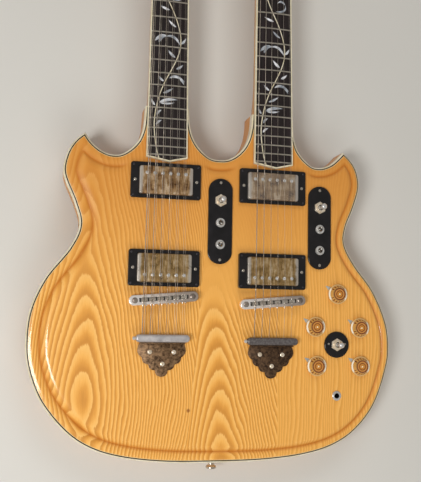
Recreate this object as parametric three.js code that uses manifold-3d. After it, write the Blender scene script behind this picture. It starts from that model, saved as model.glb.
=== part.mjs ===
// Double-neck electric guitar lying on its back, a 12-string neck on the left and a 6-string neck on
// the right, both set into one ash body with a carved rim. Millimetres, +Z up, necks along +Y.
// The origin is on the flat back, midway between the necks, at the line of the bridges.
import * as THREE from "three";
import { mergeVertices } from "three/addons/utils/BufferGeometryUtils.js";
import Module from "manifold-3d";

const wasm = await Module();
wasm.setup();

// Clearances and overruns
const fitGap = 0.3; // between two pieces that touch
const cutOverrun = 2; // how far a cutter runs past the face that it opens
const fuseDepth = 0.6; // how far two shapes of one piece sink into each other
const weldDistance = 0.0005;
const degree = Math.PI / 180;

// Scale and necks
const scaleLength = 628; // bridge line to nut
const fretCount = 21;
const neckPitch = 1.25; // degrees that the necks lean back
const boardRise = 11; // board plane above the body's top, at the bridge line
const boardThickness = 6;
const boardRadius = 305; // camber across the board
const boardEndWidth = 54;
const lastFretMargin = 3.1; // last fret to the corners at the board's end
const boardPointDepth = 5.4; // the shallow point at the board's end
const nutWidth = 46;
const nutThickness = 5;
const fretWidth = 2.4;
const fretCrownWidth = 1.1;
const fretHeight = 1.1;
const fretInset = 1.6; // from the board's edge, inside its binding
const camberSteps = 3;

// Body
const bodyWidth = 484.6;
const tailLength = 206.5; // bridge line to the tail edge
const hornReach = 211; // bridge line to the horn tips
const tongueRise = 41; // horn tips to the body's end beside the necks
const tongueLip = 1.75; // how far the body's end reaches out beside a board
const cutawayDepth = 25.8; // horn tips to the lowest point of the outer cutaways
const middleDepth = 65; // body's end to the lowest point of the cutaway between the necks
const bodyThickness = 46;
const outlineSteps = 2; // straight steps for each span of the outline
const edgeRound = 1.6; // drop of the top edge at its binding
const edgeRoundReach = 3; // how far in from the edge it reaches
const grooveDepth = 5;
const grooveInset = 16.5; // outline to the bottom of the carved groove
const rimDrop = 2.1; // the rim's crest below the top
const rimCrestInset = 8;
const plateauInset = 26; // outline to the flat top
const bindingReach = 4.1; // the edge band keeps this width all round
const carveLeftShare = 1.05; // how far in the carve lies, past the binding
const carveRightShare = 0.45;
const carveNear = 46; // the carving fades out between these two distances
const carveFull = 62; // from a neck's centre line
const backRound = 7;

// Outline of the body, from one horn tip down round the tail to the other. Across is a share of half
// the body's width, along a share of the tail's length below the bridge line or the horns' above it.
const outlineShares = [
  [-0.732, 1.003], [-0.778, 0.957], [-0.818, 0.883], [-0.8385, 0.782], [-0.826, 0.703],
  [-0.774, 0.567], [-0.745, 0.435], [-0.792, 0.297], [-0.908, 0.117], [-0.976, -0.068],
  [-0.994, -0.252], [-0.976, -0.426], [-0.908, -0.62], [-0.784, -0.795], [-0.656, -0.898],
  [-0.495, -0.958], [-0.272, -0.992], [0, -1], [0.272, -0.996], [0.508, -0.967],
  [0.681, -0.908], [0.813, -0.806], [0.92, -0.646], [0.99, -0.421], [1.006, -0.275],
  [0.9855, -0.1065], [0.908, 0.091], [0.799, 0.253], [0.739, 0.383], [0.747, 0.493],
  [0.792, 0.622], [0.825, 0.751], [0.817, 0.852], [0.784, 0.928], [0.728, 0.991],
];
// Outer cutaway, from the horn tip to the neck: across is 1 at the tip and 0 at the body's side beside
// the neck, rise is 0 at the cutaway's floor and 1 at the body's end.
const cutawayShares = [
  [0.902, 0.236], [0.775, 0.105], [0.657, 0.034], [0.538, 0], [0.386, 0.018], [0.24, 0.117],
  [0.119, 0.274], [0.057, 0.431], [0.02, 0.626], [0, 1],
];
// Half of the middle cutaway, from its floor to the neck.
const middleShares = [
  [0, 0], [0.25, 0.02], [0.48, 0.095], [0.69, 0.23], [0.84, 0.39], [0.93, 0.57], [0.98, 0.77], [1, 1],
];

// Neck behind the board
const neckDepthAtNut = 21;
const neckDepthAtHeel = 24;
const heelDepth = 35; // at the body
const heelLength = 58; // from the body's end to the neck's own depth
const neckSideFlat = 2.5; // straight sides under the board
const neckFacets = 12; // facets of the round back
const heelSquareness = 3.4; // exponent of the heel's section, 2 is round
const tenonWidth = 40;
const tenonDepth = 22;
const tenonWall = 17.7; // wood between the tenon and the neck pickup's pocket

// Headstocks
const headAngle = 13; // degrees behind the neck
const headThickness = 14;
const headWidth = 73;
const headEndWidth = 76;
const headCrown = 7; // rise of the rounded top end
const headFlare = 24; // length over which the neck widens
const headEndMargin = 38; // last post to the sides' end
const firstPost = 30; // nut to the first post
const postPitch12 = 26.5;
const postPitch6 = 42;
const postInset = 26; // post to the head's centre line
const postRadius = 3.1;
const postHeight = 13;
const postSides = 6;
const stringLift = 8; // strings above the head at their post

// Tuners
const tunerPlateWidth = 14;
const tunerPlateThickness = 1.4;
const tunerPlateMargin = 9;
const housingWidth = 12;
const housingLength = 17;
const housingDepth = 8;
const wormOffset = 7; // worm shaft beyond its post, along the head
const wormDrop = 5; // worm shaft behind the head
const wormRadius = 1.7;
const wormDepth = 8; // how far the shaft runs into its housing
const keySides = 6;
const keyButtonStart = 4.5; // beyond the head's side
const keyButtonLength = 16;
const keyButtonWidth = 18;
const keyButtonThickness = 6;

// Strings, from bass to treble, each diameter a share of the heaviest
const heaviestString = 1.2;
const gaugeShares12 = [1, 0.57, 0.83, 0.38, 0.64, 0.26, 0.49, 0.2, 0.3, 0.3, 0.22, 0.22];
const gaugeShares6 = [0.98, 0.77, 0.55, 0.36, 0.28, 0.22];
const stringSides = 6;
const nutSpread = 36.4; // outer courses, at the nut
const bridgeSpread = 50.4; // the same at the bridge
const nutPairGap = 1.9; // the two strings of a course
const bridgePairGap = 2.6;
const nutAction = 0.5; // strings over the first fret's height
const saddleRise = 14.4; // strings over the body's top
const nutLip = 0.4; // nut over the heaviest string's middle

// Bridges
const bridgeLine12 = 1.2; // beyond the bridge line
const bridgeLine6 = -0.9;
const bridgeSlant = 5.1; // degrees
const bridgeLength = 89;
const bridgeWidth = 13;
const bridgeBottom = 5; // above the body's top
const bridgeHeight = 6.4;
const bridgePostSpacing = 74;
const bridgePostRadius = 2.6;
const bridgePostDepth = 14; // in the body
const bridgePostHead = 4.2;
const thumbwheelRadius = 5.6;
const thumbwheelHeight = 2.4;
const channelLength = 63;
const channelWidth = 7.6;
const channelDepth = 4;
const saddleWidth12 = 3.4;
const saddleWidth6 = 7.4;
const saddleRidge = 0.8;

// Tailpieces
const tailLine12 = -49.1; // the string bar's place along the body
const tailLine6 = -51.7;
const barLength = 69;
const barWidth = 9.6;
const barHeight = 6.4;
const barBottom = 5.6; // above the body's top
const barRound = 2.4;
const tailPlateThickness = 1.6;
const tailPlateHalfWidth = 31.5;
const tailPlateLength = 43.4;
const shelfWidth = 58;
const lipHeight = 3; // behind the bar
// Half of the tailpiece's scalloped edge: the notch that ends each lobe, and how far the lobe swells.
const lobeShares = [
  [0.92, 0.1], [0.74, 0.42], [0.5, 0.63], [0.25, 0.8], [0, 1],
];
const lobeSwellShare = 0.11; // of the chord between two notches
const lobeSteps = 4;

// Pickups
const boardToRing = 1.8; // the board's point to the neck pickup's ring
const bridgePickupLine = 39.8;
const ringEnd = 11; // from the cover's end to the ring's
const ringWall = 5.1; // from the cover's side to the ring's
const ringCorner = 2.2;
const neckRingHeight = 4;
const bridgeRingHeight = 6.5;
const coverLength = 70;
const coverWidth = 36.4;
const coverCorner = 2.6;
const coverRound = 1.3; // rounding of the cover's top edge
const neckCoverTop = 7; // above the body's top
const bridgeCoverTop = 9.8;
const coverDepth = 6; // in the body
const pocketDepth = 12;
const pocketMargin = 1; // round the cover
const poleSpacing = 10.1;
const poleOffset = 9; // screw row from the pickup's middle
const poleRadius = 2.4;
const poleHeight = 0.7;
const poleCount = 6;

// Switches
const middlePlateGap = 10; // between the necks, from the plate to the pickup rings
const middlePlateShift = 1; // its middle beyond the guitar's centre line
const outerPlateGap = 4.8; // from the plate to the pickup rings
const switchPlateLine12 = 104; // along the guitar
const switchPlateLine6 = 101.2;
const switchPlateLength = 113;
const switchPlateWidth = 32.5;
const switchPlateThickness = 2.8;
const toggleOffset = 27.2; // from the plate's middle
const miniOffsetNear = -2.2;
const miniOffsetFar = -30.9;
const neckSwitchRadius = 17.4;
const toggleNutRadius = 8.4;
const toggleCollarRadius = 5.4;
const toggleNutHeight = 2.2;
const toggleCollarHeight = 2;
const toggleBall = 3.1;
const toggleBore = 3.8;
const toggleHeight = 18; // lever above its ball
const toggleStem = 1.6;
const toggleTip = 3.8;
const miniNutRadius = 6.2;
const miniCollarRadius = 3.6;
const miniNutHeight = 1.8;
const miniCollarHeight = 1.4;
const miniBall = 2;
const miniBore = 2.7;
const miniHeight = 9.4;
const miniStem = 0.9;
const miniTip = 1.6;
const switchTilt = 12; // degrees to each side
const ballLift = 0.5; // the ball above the body's top

// Places of the controls: across in half widths of the body, along in lengths of its tail or horns
const neckSwitchPlace = { acrossShare: 0.6777, alongShare: -0.2683 };
const jackPlace = { acrossShare: 0.6801, alongShare: -0.5952 };
const rearCoverPlace = { acrossShare: 0.6603, alongShare: -0.2421 };
const knobPlaces = {
  upper: { acrossShare: 0.683, alongShare: 0.058 },
  innerMiddle: { acrossShare: 0.553, alongShare: -0.155 },
  outerMiddle: { acrossShare: 0.814, alongShare: -0.158 },
  innerLower: { acrossShare: 0.5605, alongShare: -0.405 },
  outerLower: { acrossShare: 0.817, alongShare: -0.406 },
};

// Knobs, output jack, rear cover, strap buttons
const knobRadius = 13.2;
const knobTopRadius = 11.2;
const knobFlange = 1.8;
const knobHeight = 10;
const knobDish = 0.8;
const knobStemRadius = 3.2;
const knobStemDepth = 12;
const knobSegments = 12;
const jackBore = 3.35;
const jackBarrel = 4.8;
const jackNut = 6.3;
const jackNutHeight = 2.2;
const jackDepth = 20;
const jackFloor = 2;
const jackSides = 12;
const coverPlateWidth = 84;
const coverPlateLength = 170;
const coverPlateCorner = 30;
const coverPlateThickness = 2;
const coverPlateSink = 0.3; // below the back's surface
const strapStem = 4;
const strapFlange = 7;
const strapLength = 10;
const strapFlangeThickness = 3;
const strapSides = 10;

// Places that follow from the sizes above
const topZ = bodyThickness;
const ringLength = coverLength + 2 * ringEnd;
const ringWidth = coverWidth + 2 * ringWall;
const neckSpacing = ringLength + switchPlateWidth + 2 * middlePlateGap; // between the neck centre lines
const boardEndReach = fretLine(fretCount) - lastFretMargin; // bridge line to the board's end
const neckPickupLine = boardEndReach - boardPointDepth - boardToRing - ringWidth / 2;
const tongueReach = hornReach + tongueRise; // bridge line to the body's end
const tongueWidth = boardEndWidth + 2 * tongueLip;
const cutawayFloor = hornReach - cutawayDepth;
const middleFloor = tongueReach - middleDepth;
const tenonStart = neckPickupLine + coverWidth / 2 + pocketMargin + tenonWall;
const outerPlateX = neckSpacing / 2 + ringLength / 2 + outerPlateGap + switchPlateWidth / 2;

// Facets
const roundSides = 8; // of bores and small round pieces
const cornerSteps = 2; // of small round corners
const wideCornerSteps = 4; // of wide ones
const wideCorner = 10; // radius from which a corner is wide

// Each piece's colour, roughness and metalness
const finishes = {
  ash: [0xe2a04a, 0.25, 0],
  ebony: [0x1d1714, 0.5, 0],
  bone: [0xe8e0cc, 0.45, 0],
  black: [0x14110f, 0.35, 0],
  nickel: [0xb9ae9c, 0.3, 1],
  bronze: [0x4d3826, 0.45, 1],
  amber: [0xc97a1c, 0.15, 0],
  steel: [0xc7c7c4, 0.3, 1],
};

function finish(kind) {
  const [color, roughness, metalness] = finishes[kind];
  return new THREE.MeshStandardMaterial({ color, roughness, metalness });
}

// Turns a closed geometry, moved by an optional matrix, into a solid that can be joined and cut.
function solidOf(geometry, matrix = new THREE.Matrix4()) {
  const bare = geometry.index ? geometry.toNonIndexed() : geometry.clone();
  bare.deleteAttribute("normal");
  bare.deleteAttribute("uv");
  const merged = mergeVertices(bare.applyMatrix4(matrix), weldDistance);
  const triVerts = new Uint32Array(merged.index.array);
  const vertProperties = merged.attributes.position.array;
  return new wasm.Manifold(new wasm.Mesh({ numProp: 3, vertProperties, triVerts }));
}

function joined(solids) {
  return solids.reduce((whole, solid) => whole.add(solid));
}

function piece(parent, name, solid, kind) {
  const { vertProperties, triVerts } = solid.getMesh();
  const geometry = new THREE.BufferGeometry();
  geometry.setAttribute("position", new THREE.BufferAttribute(vertProperties, 3));
  geometry.setIndex(new THREE.BufferAttribute(triVerts, 1));
  geometry.computeVertexNormals();
  const mesh = new THREE.Mesh(geometry, finish(kind));
  mesh.name = name;
  parent.add(mesh);
  return mesh;
}

function frameAt(parent, x, y, z) {
  const frame = new THREE.Group();
  frame.position.set(x, y, z);
  parent.add(frame);
  return frame;
}

function box(x0, x1, y0, y1, z0, z1) {
  const geometry = new THREE.BoxGeometry(x1 - x0, y1 - y0, z1 - z0);
  return geometry.translate((x0 + x1) / 2, (y0 + y1) / 2, (z0 + z1) / 2);
}

// A vertical cylinder from z0 to z1, with a flat of its polygon facing +X and +Y where it can.
function post(radius, z0, z1, sides, x = 0, y = 0) {
  const geometry = new THREE.CylinderGeometry(radius, radius, z1 - z0, sides, 1, false, Math.PI / sides);
  return geometry.rotateX(Math.PI / 2).translate(x, y, (z0 + z1) / 2);
}

// A cutter whose flat sides all clear a round piece of this radius.
function bore(radius, z0, z1, sides, x = 0, y = 0) {
  return post((radius + fitGap) / Math.cos(Math.PI / sides), z0, z1, sides, x, y);
}

// Joins rings of points, each counter-clockwise seen from the next ring, into a closed skin.
function loft(rings) {
  const count = rings[0].length;
  const index = [];
  for (let ring = 0; ring + 1 < rings.length; ring++) {
    for (let i = 0; i < count; i++) {
      const a = ring * count + i;
      const b = ring * count + ((i + 1) % count);
      index.push(a, b, b + count, a, b + count, a + count);
    }
  }
  const last = (rings.length - 1) * count;
  for (let i = 1; i + 1 < count; i++) {
    index.push(0, i + 1, i, last, last + i, last + i + 1);
  }
  const geometry = new THREE.BufferGeometry().setFromPoints(rings.flat());
  return geometry.setIndex(index);
}

// Points of a rectangle with round corners, counter-clockwise.
function roundedRectangle(width, length, radius) {
  const points = [];
  const steps = radius < wideCorner ? cornerSteps : wideCornerSteps;
  for (let corner = 0; corner < 4; corner++) {
    const right = corner === 0 || corner === 3 ? 1 : -1;
    const up = corner < 2 ? 1 : -1;
    for (let step = 0; step <= steps; step++) {
      const angle = ((corner + step / steps) * Math.PI) / 2;
      points.push(new THREE.Vector2(
        right * (width / 2 - radius) + radius * Math.cos(angle),
        up * (length / 2 - radius) + radius * Math.sin(angle),
      ));
    }
  }
  return points;
}

// A block with round corners, its outline drawn in at each level: levels are [inset, z].
function roundedBlock(width, length, radius, levels) {
  return loft(levels.map(([inset, z]) => {
    const outline = roundedRectangle(width - 2 * inset, length - 2 * inset, radius - inset);
    return outline.map((point) => new THREE.Vector3(point.x, point.y, z));
  }));
}

// A solid of revolution about Z from [radius, z] pairs that start and end on the axis, going up.
function turned(profile, segments) {
  const points = profile.map(([radius, z]) => new THREE.Vector2(radius, z));
  return new THREE.LatheGeometry(points, segments).rotateX(Math.PI / 2);
}

// An outline in X and Y raised from z0 to z1.
function slab(points, z0, z1) {
  const shape = new THREE.Shape(points);
  const geometry = new THREE.ExtrudeGeometry(shape, { depth: z1 - z0, bevelEnabled: false });
  return geometry.translate(0, 0, z0);
}

// A profile in Y and Z carried along X from x0 to x1.
function bar(points, x0, x1) {
  const shape = new THREE.Shape(points);
  const geometry = new THREE.ExtrudeGeometry(shape, { depth: x1 - x0, bevelEnabled: false });
  const turn = new THREE.Matrix4().set(0, 0, 1, x0, 1, 0, 0, 0, 0, 1, 0, 0, 0, 0, 0, 1);
  return geometry.applyMatrix4(turn);
}

function camber(x) {
  return (x * x) / (2 * boardRadius);
}

function mix(from, to, share) {
  return from + (to - from) * share;
}

function smoothShare(low, high, value) {
  return THREE.MathUtils.smoothstep(value, low, high);
}

// Body outline, counter-clockwise from the left horn tip
function bodyOutline() {
  const half = bodyWidth / 2;
  const side = neckSpacing / 2 + tongueWidth / 2;
  const innerSide = neckSpacing / 2 - tongueWidth / 2;
  const rim = outlineShares.map(([across, along]) => (
    new THREE.Vector2(across * half, along * (along < 0 ? tailLength : hornReach))
  ));
  const cutaway = (tip, hand) => [tip, ...cutawayShares.map(([across, rise]) => new THREE.Vector2(
    hand * mix(side, Math.abs(tip.x), across), mix(cutawayFloor, tongueReach, rise),
  ))];
  const middle = middleShares.map(([across, rise]) => (
    new THREE.Vector2(across * innerSide, mix(middleFloor, tongueReach, rise))
  ));
  const mirrored = middle.slice(1).map((point) => new THREE.Vector2(-point.x, point.y));
  const smooth = (points, steps) => {
    return new THREE.SplineCurve(points).getPoints((points.length - 1) * steps);
  };
  const right = smooth(cutaway(rim.at(-1), 1), outlineSteps - 1);
  const left = smooth(cutaway(rim[0], -1), outlineSteps - 1).reverse();
  const between = smooth([...middle.reverse(), ...mirrored], outlineSteps - 1);
  return [...smooth(rim, outlineSteps), ...right.slice(1), ...between, ...left.slice(0, -1)];
}

function distanceTo(outline, point) {
  let nearest = Infinity;
  const onEdge = new THREE.Vector3();
  const edge = new THREE.Line3();
  const place = new THREE.Vector3(point.x, point.y, 0);
  outline.forEach((start, i) => {
    const end = outline[(i + 1) % outline.length];
    edge.start.set(start.x, start.y, 0);
    edge.end.set(end.x, end.y, 0);
    edge.closestPointToPoint(place, true, onEdge);
    nearest = Math.min(nearest, onEdge.distanceTo(place));
  });
  return nearest;
}

function contains(outline, point) {
  return outline.reduce((inside, a, i) => {
    const b = outline[(i + 1) % outline.length];
    const passes = (a.y > point.y) !== (b.y > point.y);
    return passes && point.x < mix(a.x, b.x, (point.y - a.y) / (b.y - a.y)) ? !inside : inside;
  }, false);
}

// How far in a contour lies: past the binding, a share of its nominal distance
function reachOf(inset, share) {
  return Math.min(inset, bindingReach) + Math.max(0, inset - bindingReach) * share;
}

// The carve lies nearer the edge on the side of the neck with six strings
function carveShare(point) {
  return mix(carveLeftShare, carveRightShare, point.x / bodyWidth + 1 / 2);
}

// The outline moved in, without the points that the move brings too near another side
// or past the line around it
function insetOutline(outline, inset, around, shareAt) {
  if (inset === 0) return outline;
  const keepShare = 0.9995;
  const stepShare = 0.4;
  const count = outline.length;
  const moved = outline.map((corner, i) => {
    const before = corner.clone().sub(outline[(i + count - 1) % count]).normalize();
    const after = outline[(i + 1) % count].clone().sub(corner).normalize();
    const mitre = new THREE.Vector2(-before.y - after.y, before.x + after.x);
    const reach = reachOf(inset, shareAt(corner));
    const step = reach - reachOf(around.inset, shareAt(corner));
    const point = corner.clone().addScaledVector(mitre, reach / (1 + before.dot(after)));
    return { point, reach, step };
  });
  const kept = moved.filter(({ point, reach, step }) => (
    distanceTo(outline, point) > reach * keepShare
      && contains(around.flat, point) && distanceTo(around.flat, point) > step * stepShare
  ));
  return kept.map(({ point }) => point);
}

// How far the top lies below its plateau, at a distance in from the outline.
function carveDrop(point, distance) {
  const nearNeck = Math.abs(Math.abs(point.x) - neckSpacing / 2);
  const above = smoothShare(tongueReach - carveFull * 2, cutawayFloor - plateauInset, point.y);
  const carved = mix(1, smoothShare(carveNear, carveFull, nearNeck), above);
  const edge = distance < edgeRoundReach ? edgeRound * (1 - distance / edgeRoundReach) ** 2 : 0;
  const toRim = Math.min(1, distance / rimCrestInset);
  let drop = rimDrop * (2 - toRim);
  if (distance > rimCrestInset && distance <= grooveInset) {
    drop = mix(rimDrop, grooveDepth, smoothShare(rimCrestInset, grooveInset, distance));
  }
  if (distance > grooveInset) {
    drop = mix(grooveDepth, 0, smoothShare(grooveInset, plateauInset, distance));
  }
  return edge + carved * drop;
}

// Carved body blank: rings of the outline, drawn in step by step, joined into one skin
function bodyBlank() {
  const outline = bodyOutline();
  const grooveWall = mix(rimCrestInset, grooveInset, 1 / 2);
  const slopeLow = mix(grooveInset, plateauInset, 1 / 3);
  const slopeHigh = mix(grooveInset, plateauInset, 2 / 3);
  const insets = [0, edgeRoundReach / 2, edgeRoundReach, rimCrestInset, grooveWall,
    grooveInset, slopeLow, slopeHigh, plateauInset];
  const points = [];
  const index = [];
  const ring = (around, inset, shareAt, height) => {
    const flat = insetOutline(outline, inset, around, shareAt);
    const start = points.length;
    flat.forEach((point) => points.push(new THREE.Vector3(point.x, point.y, height(point))));
    return { flat, start, inset };
  };
  const cover = (outer, inner, up) => {
    const holes = inner ? [inner.flat] : [];
    const number = (i) => (i < outer.flat.length ? outer.start + i : inner.start + i - outer.flat.length);
    THREE.ShapeUtils.triangulateShape(outer.flat, holes).forEach(([a, b, c]) => {
      const triangle = [a, b, c].map(number);
      index.push(...(up ? triangle : triangle.reverse()));
    });
  };
  const top = [];
  insets.forEach((inset) => {
    top.push(ring(top.at(-1), inset, carveShare, (point) => topZ - carveDrop(point, inset)));
  });
  const roundShare = 0.3;
  const back = [];
  const backSteps = [[0, backRound], [backRound * roundShare, backRound * roundShare], [backRound, 0]];
  backSteps.forEach(([inset, z]) => {
    back.push(ring(back.at(-1), inset, () => 1, () => z));
  });
  top.forEach((outer, i) => cover(outer, top[i + 1], true));
  back.forEach((outer, i) => cover(outer, back[i + 1], false));
  const count = outline.length;
  for (let i = 0; i < count; i++) {
    const j = (i + 1) % count;
    const [a, b] = [back[0].start + i, back[0].start + j];
    const [c, d] = [top[0].start + j, top[0].start + i];
    index.push(a, b, c, a, c, d);
  }
  return solidOf(new THREE.BufferGeometry().setFromPoints(points).setIndex(index));
}

// Board outline seen from above, in the neck's frame, widened by a margin
function boardWidthAt(y) {
  return mix(boardEndWidth, nutWidth, (y - boardEndReach) / (scaleLength - boardEndReach));
}

function boardOutline(margin, nutEnd) {
  const wide = boardEndWidth / 2 + margin;
  const narrow = boardWidthAt(nutEnd) / 2 + margin;
  return [
    new THREE.Vector2(0, boardEndReach - boardPointDepth - margin),
    new THREE.Vector2(wide, boardEndReach - margin),
    new THREE.Vector2(narrow, nutEnd),
    new THREE.Vector2(-narrow, nutEnd),
    new THREE.Vector2(-wide, boardEndReach - margin),
  ];
}

// Arc over the board from one side to the other, at a height over the camber
function camberArc(halfWidth, lift) {
  const points = [];
  for (let step = 0; step <= camberSteps; step++) {
    const x = mix(halfWidth, -halfWidth, step / camberSteps);
    points.push(new THREE.Vector2(x, lift - camber(x)));
  }
  return points;
}

function fingerboard() {
  const nutEnd = scaleLength - fitGap;
  const blank = solidOf(slab(boardOutline(0, nutEnd), -boardThickness, cutOverrun));
  const wide = boardEndWidth / 2 + cutOverrun;
  const section = [
    new THREE.Vector2(-wide, -boardThickness - cutOverrun),
    new THREE.Vector2(wide, -boardThickness - cutOverrun),
    ...camberArc(wide, 0),
  ];
  const length = scaleLength + cutOverrun;
  const crown = slab(section, 0, length).rotateX(Math.PI / 2).translate(0, length, 0);
  const board = blank.intersect(solidOf(crown));
  const frets = [];
  for (let number = 1; number <= fretCount; number++) {
    frets.push(solidOf(fret(fretLine(number))));
  }
  return board.add(joined(frets));
}

// A fret's distance from the bridge line: twelve frets to the octave
function fretLine(number) {
  return scaleLength * 2 ** (-number / 12);
}

function fret(y) {
  const half = boardWidthAt(y) / 2 - fretInset;
  const rail = (lift, offset) => (
    camberArc(half, lift).map((point) => new THREE.Vector3(point.x, y + offset, point.y))
  );
  const foot = fretWidth / 2;
  const crown = fretCrownWidth / 2;
  const rails = [
    rail(-fuseDepth, -foot), rail(fretHeight, -crown), rail(fretHeight, crown), rail(-fuseDepth, foot),
  ];
  const rings = rails[0].map((_, step) => rails.map((points) => points[step]));
  return loft(rings);
}

// Depth of the neck below its own top, at a place along it
function neckDepthAt(y) {
  const plain = mix(neckDepthAtHeel, neckDepthAtNut, (y - tongueReach) / (scaleLength - tongueReach));
  const heel = 1 - Math.min(1, (y - tongueReach) / heelLength);
  return plain + (heelDepth - neckDepthAtHeel) * heel ** 2;
}

// Section of the neck: flat on top, short straight sides, round back
function neckSection(y, top, depth, halfWidth, squareness) {
  const ring = [new THREE.Vector3(-halfWidth, y, top), new THREE.Vector3(halfWidth, y, top)];
  const power = 2 / squareness;
  for (let i = 0; i <= neckFacets; i++) {
    const angle = (Math.PI * i) / neckFacets;
    const across = Math.sign(Math.cos(angle)) * Math.abs(Math.cos(angle)) ** power;
    const down = Math.sin(angle) ** power;
    ring.push(new THREE.Vector3(
      halfWidth * across, y, top - neckSideFlat - (depth - neckSideFlat) * down,
    ));
  }
  return ring;
}

function headLength(strings) {
  const pitch = strings === 12 ? postPitch12 : postPitch6;
  return firstPost + pitch * (strings / 2 - 1) + headEndMargin;
}

function postPlaces(strings) {
  const pitch = strings === 12 ? postPitch12 : postPitch6;
  return Array.from({ length: strings / 2 }, (_, i) => firstPost + pitch * i);
}

// Head outline in its own frame, from the nut's back edge
function headOutline(strings) {
  const length = headLength(strings);
  const shape = new THREE.Shape();
  const root = nutWidth / 2;
  const wide = headWidth / 2;
  const end = headEndWidth / 2;
  shape.moveTo(root, 0);
  shape.bezierCurveTo(root, headFlare / 2, wide, headFlare / 3, wide, headFlare);
  shape.lineTo(end, length - headCrown);
  shape.quadraticCurveTo(end, length, 0, length + headCrown);
  shape.quadraticCurveTo(-end, length, -end, length - headCrown);
  shape.lineTo(-wide, headFlare);
  shape.bezierCurveTo(-wide, headFlare / 3, -root, headFlare / 2, -root, 0);
  return shape.getPoints(cornerSteps * 2);
}

// Neck with its tenon in the neck's frame, joined to its head in the head's frame
function neck(strings, headMatrix) {
  const top = -boardThickness - fitGap;
  const start = tongueReach + fitGap;
  const stationShares = [0, 0.02, 0.05, 0.085, 0.125, 0.16, 0.5, 0.98, 1];
  const slope = Math.tan(headAngle * degree);
  const nutBack = scaleLength + nutThickness;
  const heelHeight = heelDepth + boardThickness;
  const rings = stationShares.map((share) => {
    const y = mix(start, nutBack, share);
    const square = mix(2, heelSquareness, (1 - Math.min(1, (y - start) / heelLength)) ** 2);
    return neckSection(y, top, neckDepthAt(y), boardWidthAt(y) / 2, square);
  });
  const rootReach = nutBack + headFlare / 2;
  const rootDrop = slope * (rootReach - nutBack);
  rings.push(neckSection(rootReach, top - rootDrop, headThickness, nutWidth / 2 - neckSideFlat, 2));
  const shaft = solidOf(loft(rings));
  const tenon = solidOf(box(-tenonWidth / 2, tenonWidth / 2, tenonStart + fitGap, start + heelLength / 4,
    top - tenonDepth, top));
  const head = solidOf(slab(headOutline(strings), -headThickness, 0), headMatrix);
  const bores = joined(postPlaces(strings).flatMap((y) => [-postInset, postInset].map((x) => (
    solidOf(post(postRadius + fitGap, -headThickness - cutOverrun, cutOverrun, postSides, x, y), headMatrix)
  ))));
  const blank = joined([shaft, tenon, head]).subtract(bores);
  return strings === 12 ? blank.add(heelStrapButton(top - heelHeight + boardThickness)) : blank;
}

// Strap button under the heel of the left neck
function heelStrapButton(heelBottom) {
  const y = tongueReach + strapFlange + fitGap;
  const bottom = heelBottom - strapLength + strapFlangeThickness * 2;
  return solidOf(strapButton(strapLength + heelDepth / 2).translate(0, y, bottom));
}

// Strap button standing up from its flange at zero
function strapButton(length) {
  const waist = strapFlangeThickness;
  return turned([
    [0, 0], [strapFlange, 0], [strapFlange, waist], [strapStem, waist + strapFlangeThickness / 2],
    [strapStem, length], [0, length],
  ], strapSides);
}

function tailStrapButton() {
  const button = strapButton(strapLength + backRound);
  button.rotateX(-Math.PI / 2).translate(0, -tailLength - strapLength, bodyThickness / 2);
  return solidOf(button);
}

// String places across the guitar, pairs on the 12-string side
function courses(strings, spread, pairGap) {
  const places = [];
  for (let course = 0; course < 6; course++) {
    const middle = mix(-spread / 2, spread / 2, course / 5);
    if (strings === 12) places.push(middle - pairGap / 2, middle + pairGap / 2);
    else places.push(middle);
  }
  return places;
}

function stringRadii(strings) {
  const shares = strings === 12 ? gaugeShares12 : gaugeShares6;
  return shares.map((share) => (share * heaviestString) / 2);
}

function nutPlaces(strings) {
  return courses(strings, nutSpread, nutPairGap);
}

function nut(strings) {
  const bottom = -boardThickness;
  const rise = fretHeight + nutAction + heaviestString / 2 + nutLip;
  const half = nutWidth / 2;
  const block = solidOf(box(-half, half, scaleLength, scaleLength + nutThickness, bottom, rise));
  const radii = stringRadii(strings);
  const slots = nutPlaces(strings).map((x, i) => {
    const floor = fretHeight + nutAction - camber(x) - fitGap;
    const side = radii[i] + fitGap;
    return solidOf(box(x - side, x + side, scaleLength - cutOverrun, scaleLength + nutThickness + cutOverrun,
      floor, rise + cutOverrun));
  });
  return block.subtract(joined(slots));
}

function saddlePlaces(strings) {
  return courses(strings, bridgeSpread, bridgePairGap);
}

// Bridge in its own frame: bar with a channel, saddles standing in it, and posts on thumbwheels
function bridge(strings) {
  const barTop = bridgeBottom + bridgeHeight;
  const chamfer = bridgeHeight / 5;
  const beam = roundedBlock(bridgeLength, bridgeWidth, bridgeWidth / 2, [
    [0, bridgeBottom], [0, barTop - chamfer], [chamfer, barTop],
  ]);
  const channelFloor = barTop - channelDepth;
  const channel = box(-channelLength / 2, channelLength / 2, -channelWidth / 2, channelWidth / 2,
    channelFloor, barTop + cutOverrun);
  const width = strings === 12 ? saddleWidth12 : saddleWidth6;
  const halfPitch = (width + fitGap) / 2;
  const saddles = saddlePlaces(strings).map((x, i) => {
    const pairShift = strings === 12 ? (i % 2 ? 1 : -1) * Math.max(0, halfPitch - bridgePairGap / 2) : 0;
    return solidOf(saddle(x + pairShift, width, channelFloor, saddleRise - camber(x) - fitGap));
  });
  const posts = [-bridgePostSpacing / 2, bridgePostSpacing / 2].flatMap((x) => [
    solidOf(post(bridgePostRadius, -bridgePostDepth, barTop, roundSides, x)),
    solidOf(post(thumbwheelRadius, fitGap, fitGap + thumbwheelHeight, jackSides, x)),
    solidOf(post(bridgePostHead, bridgeBottom + fuseDepth, barTop + fuseDepth, roundSides, x)),
  ]);
  return joined([solidOf(beam).subtract(solidOf(channel)), ...saddles, ...posts]);
}

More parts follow.
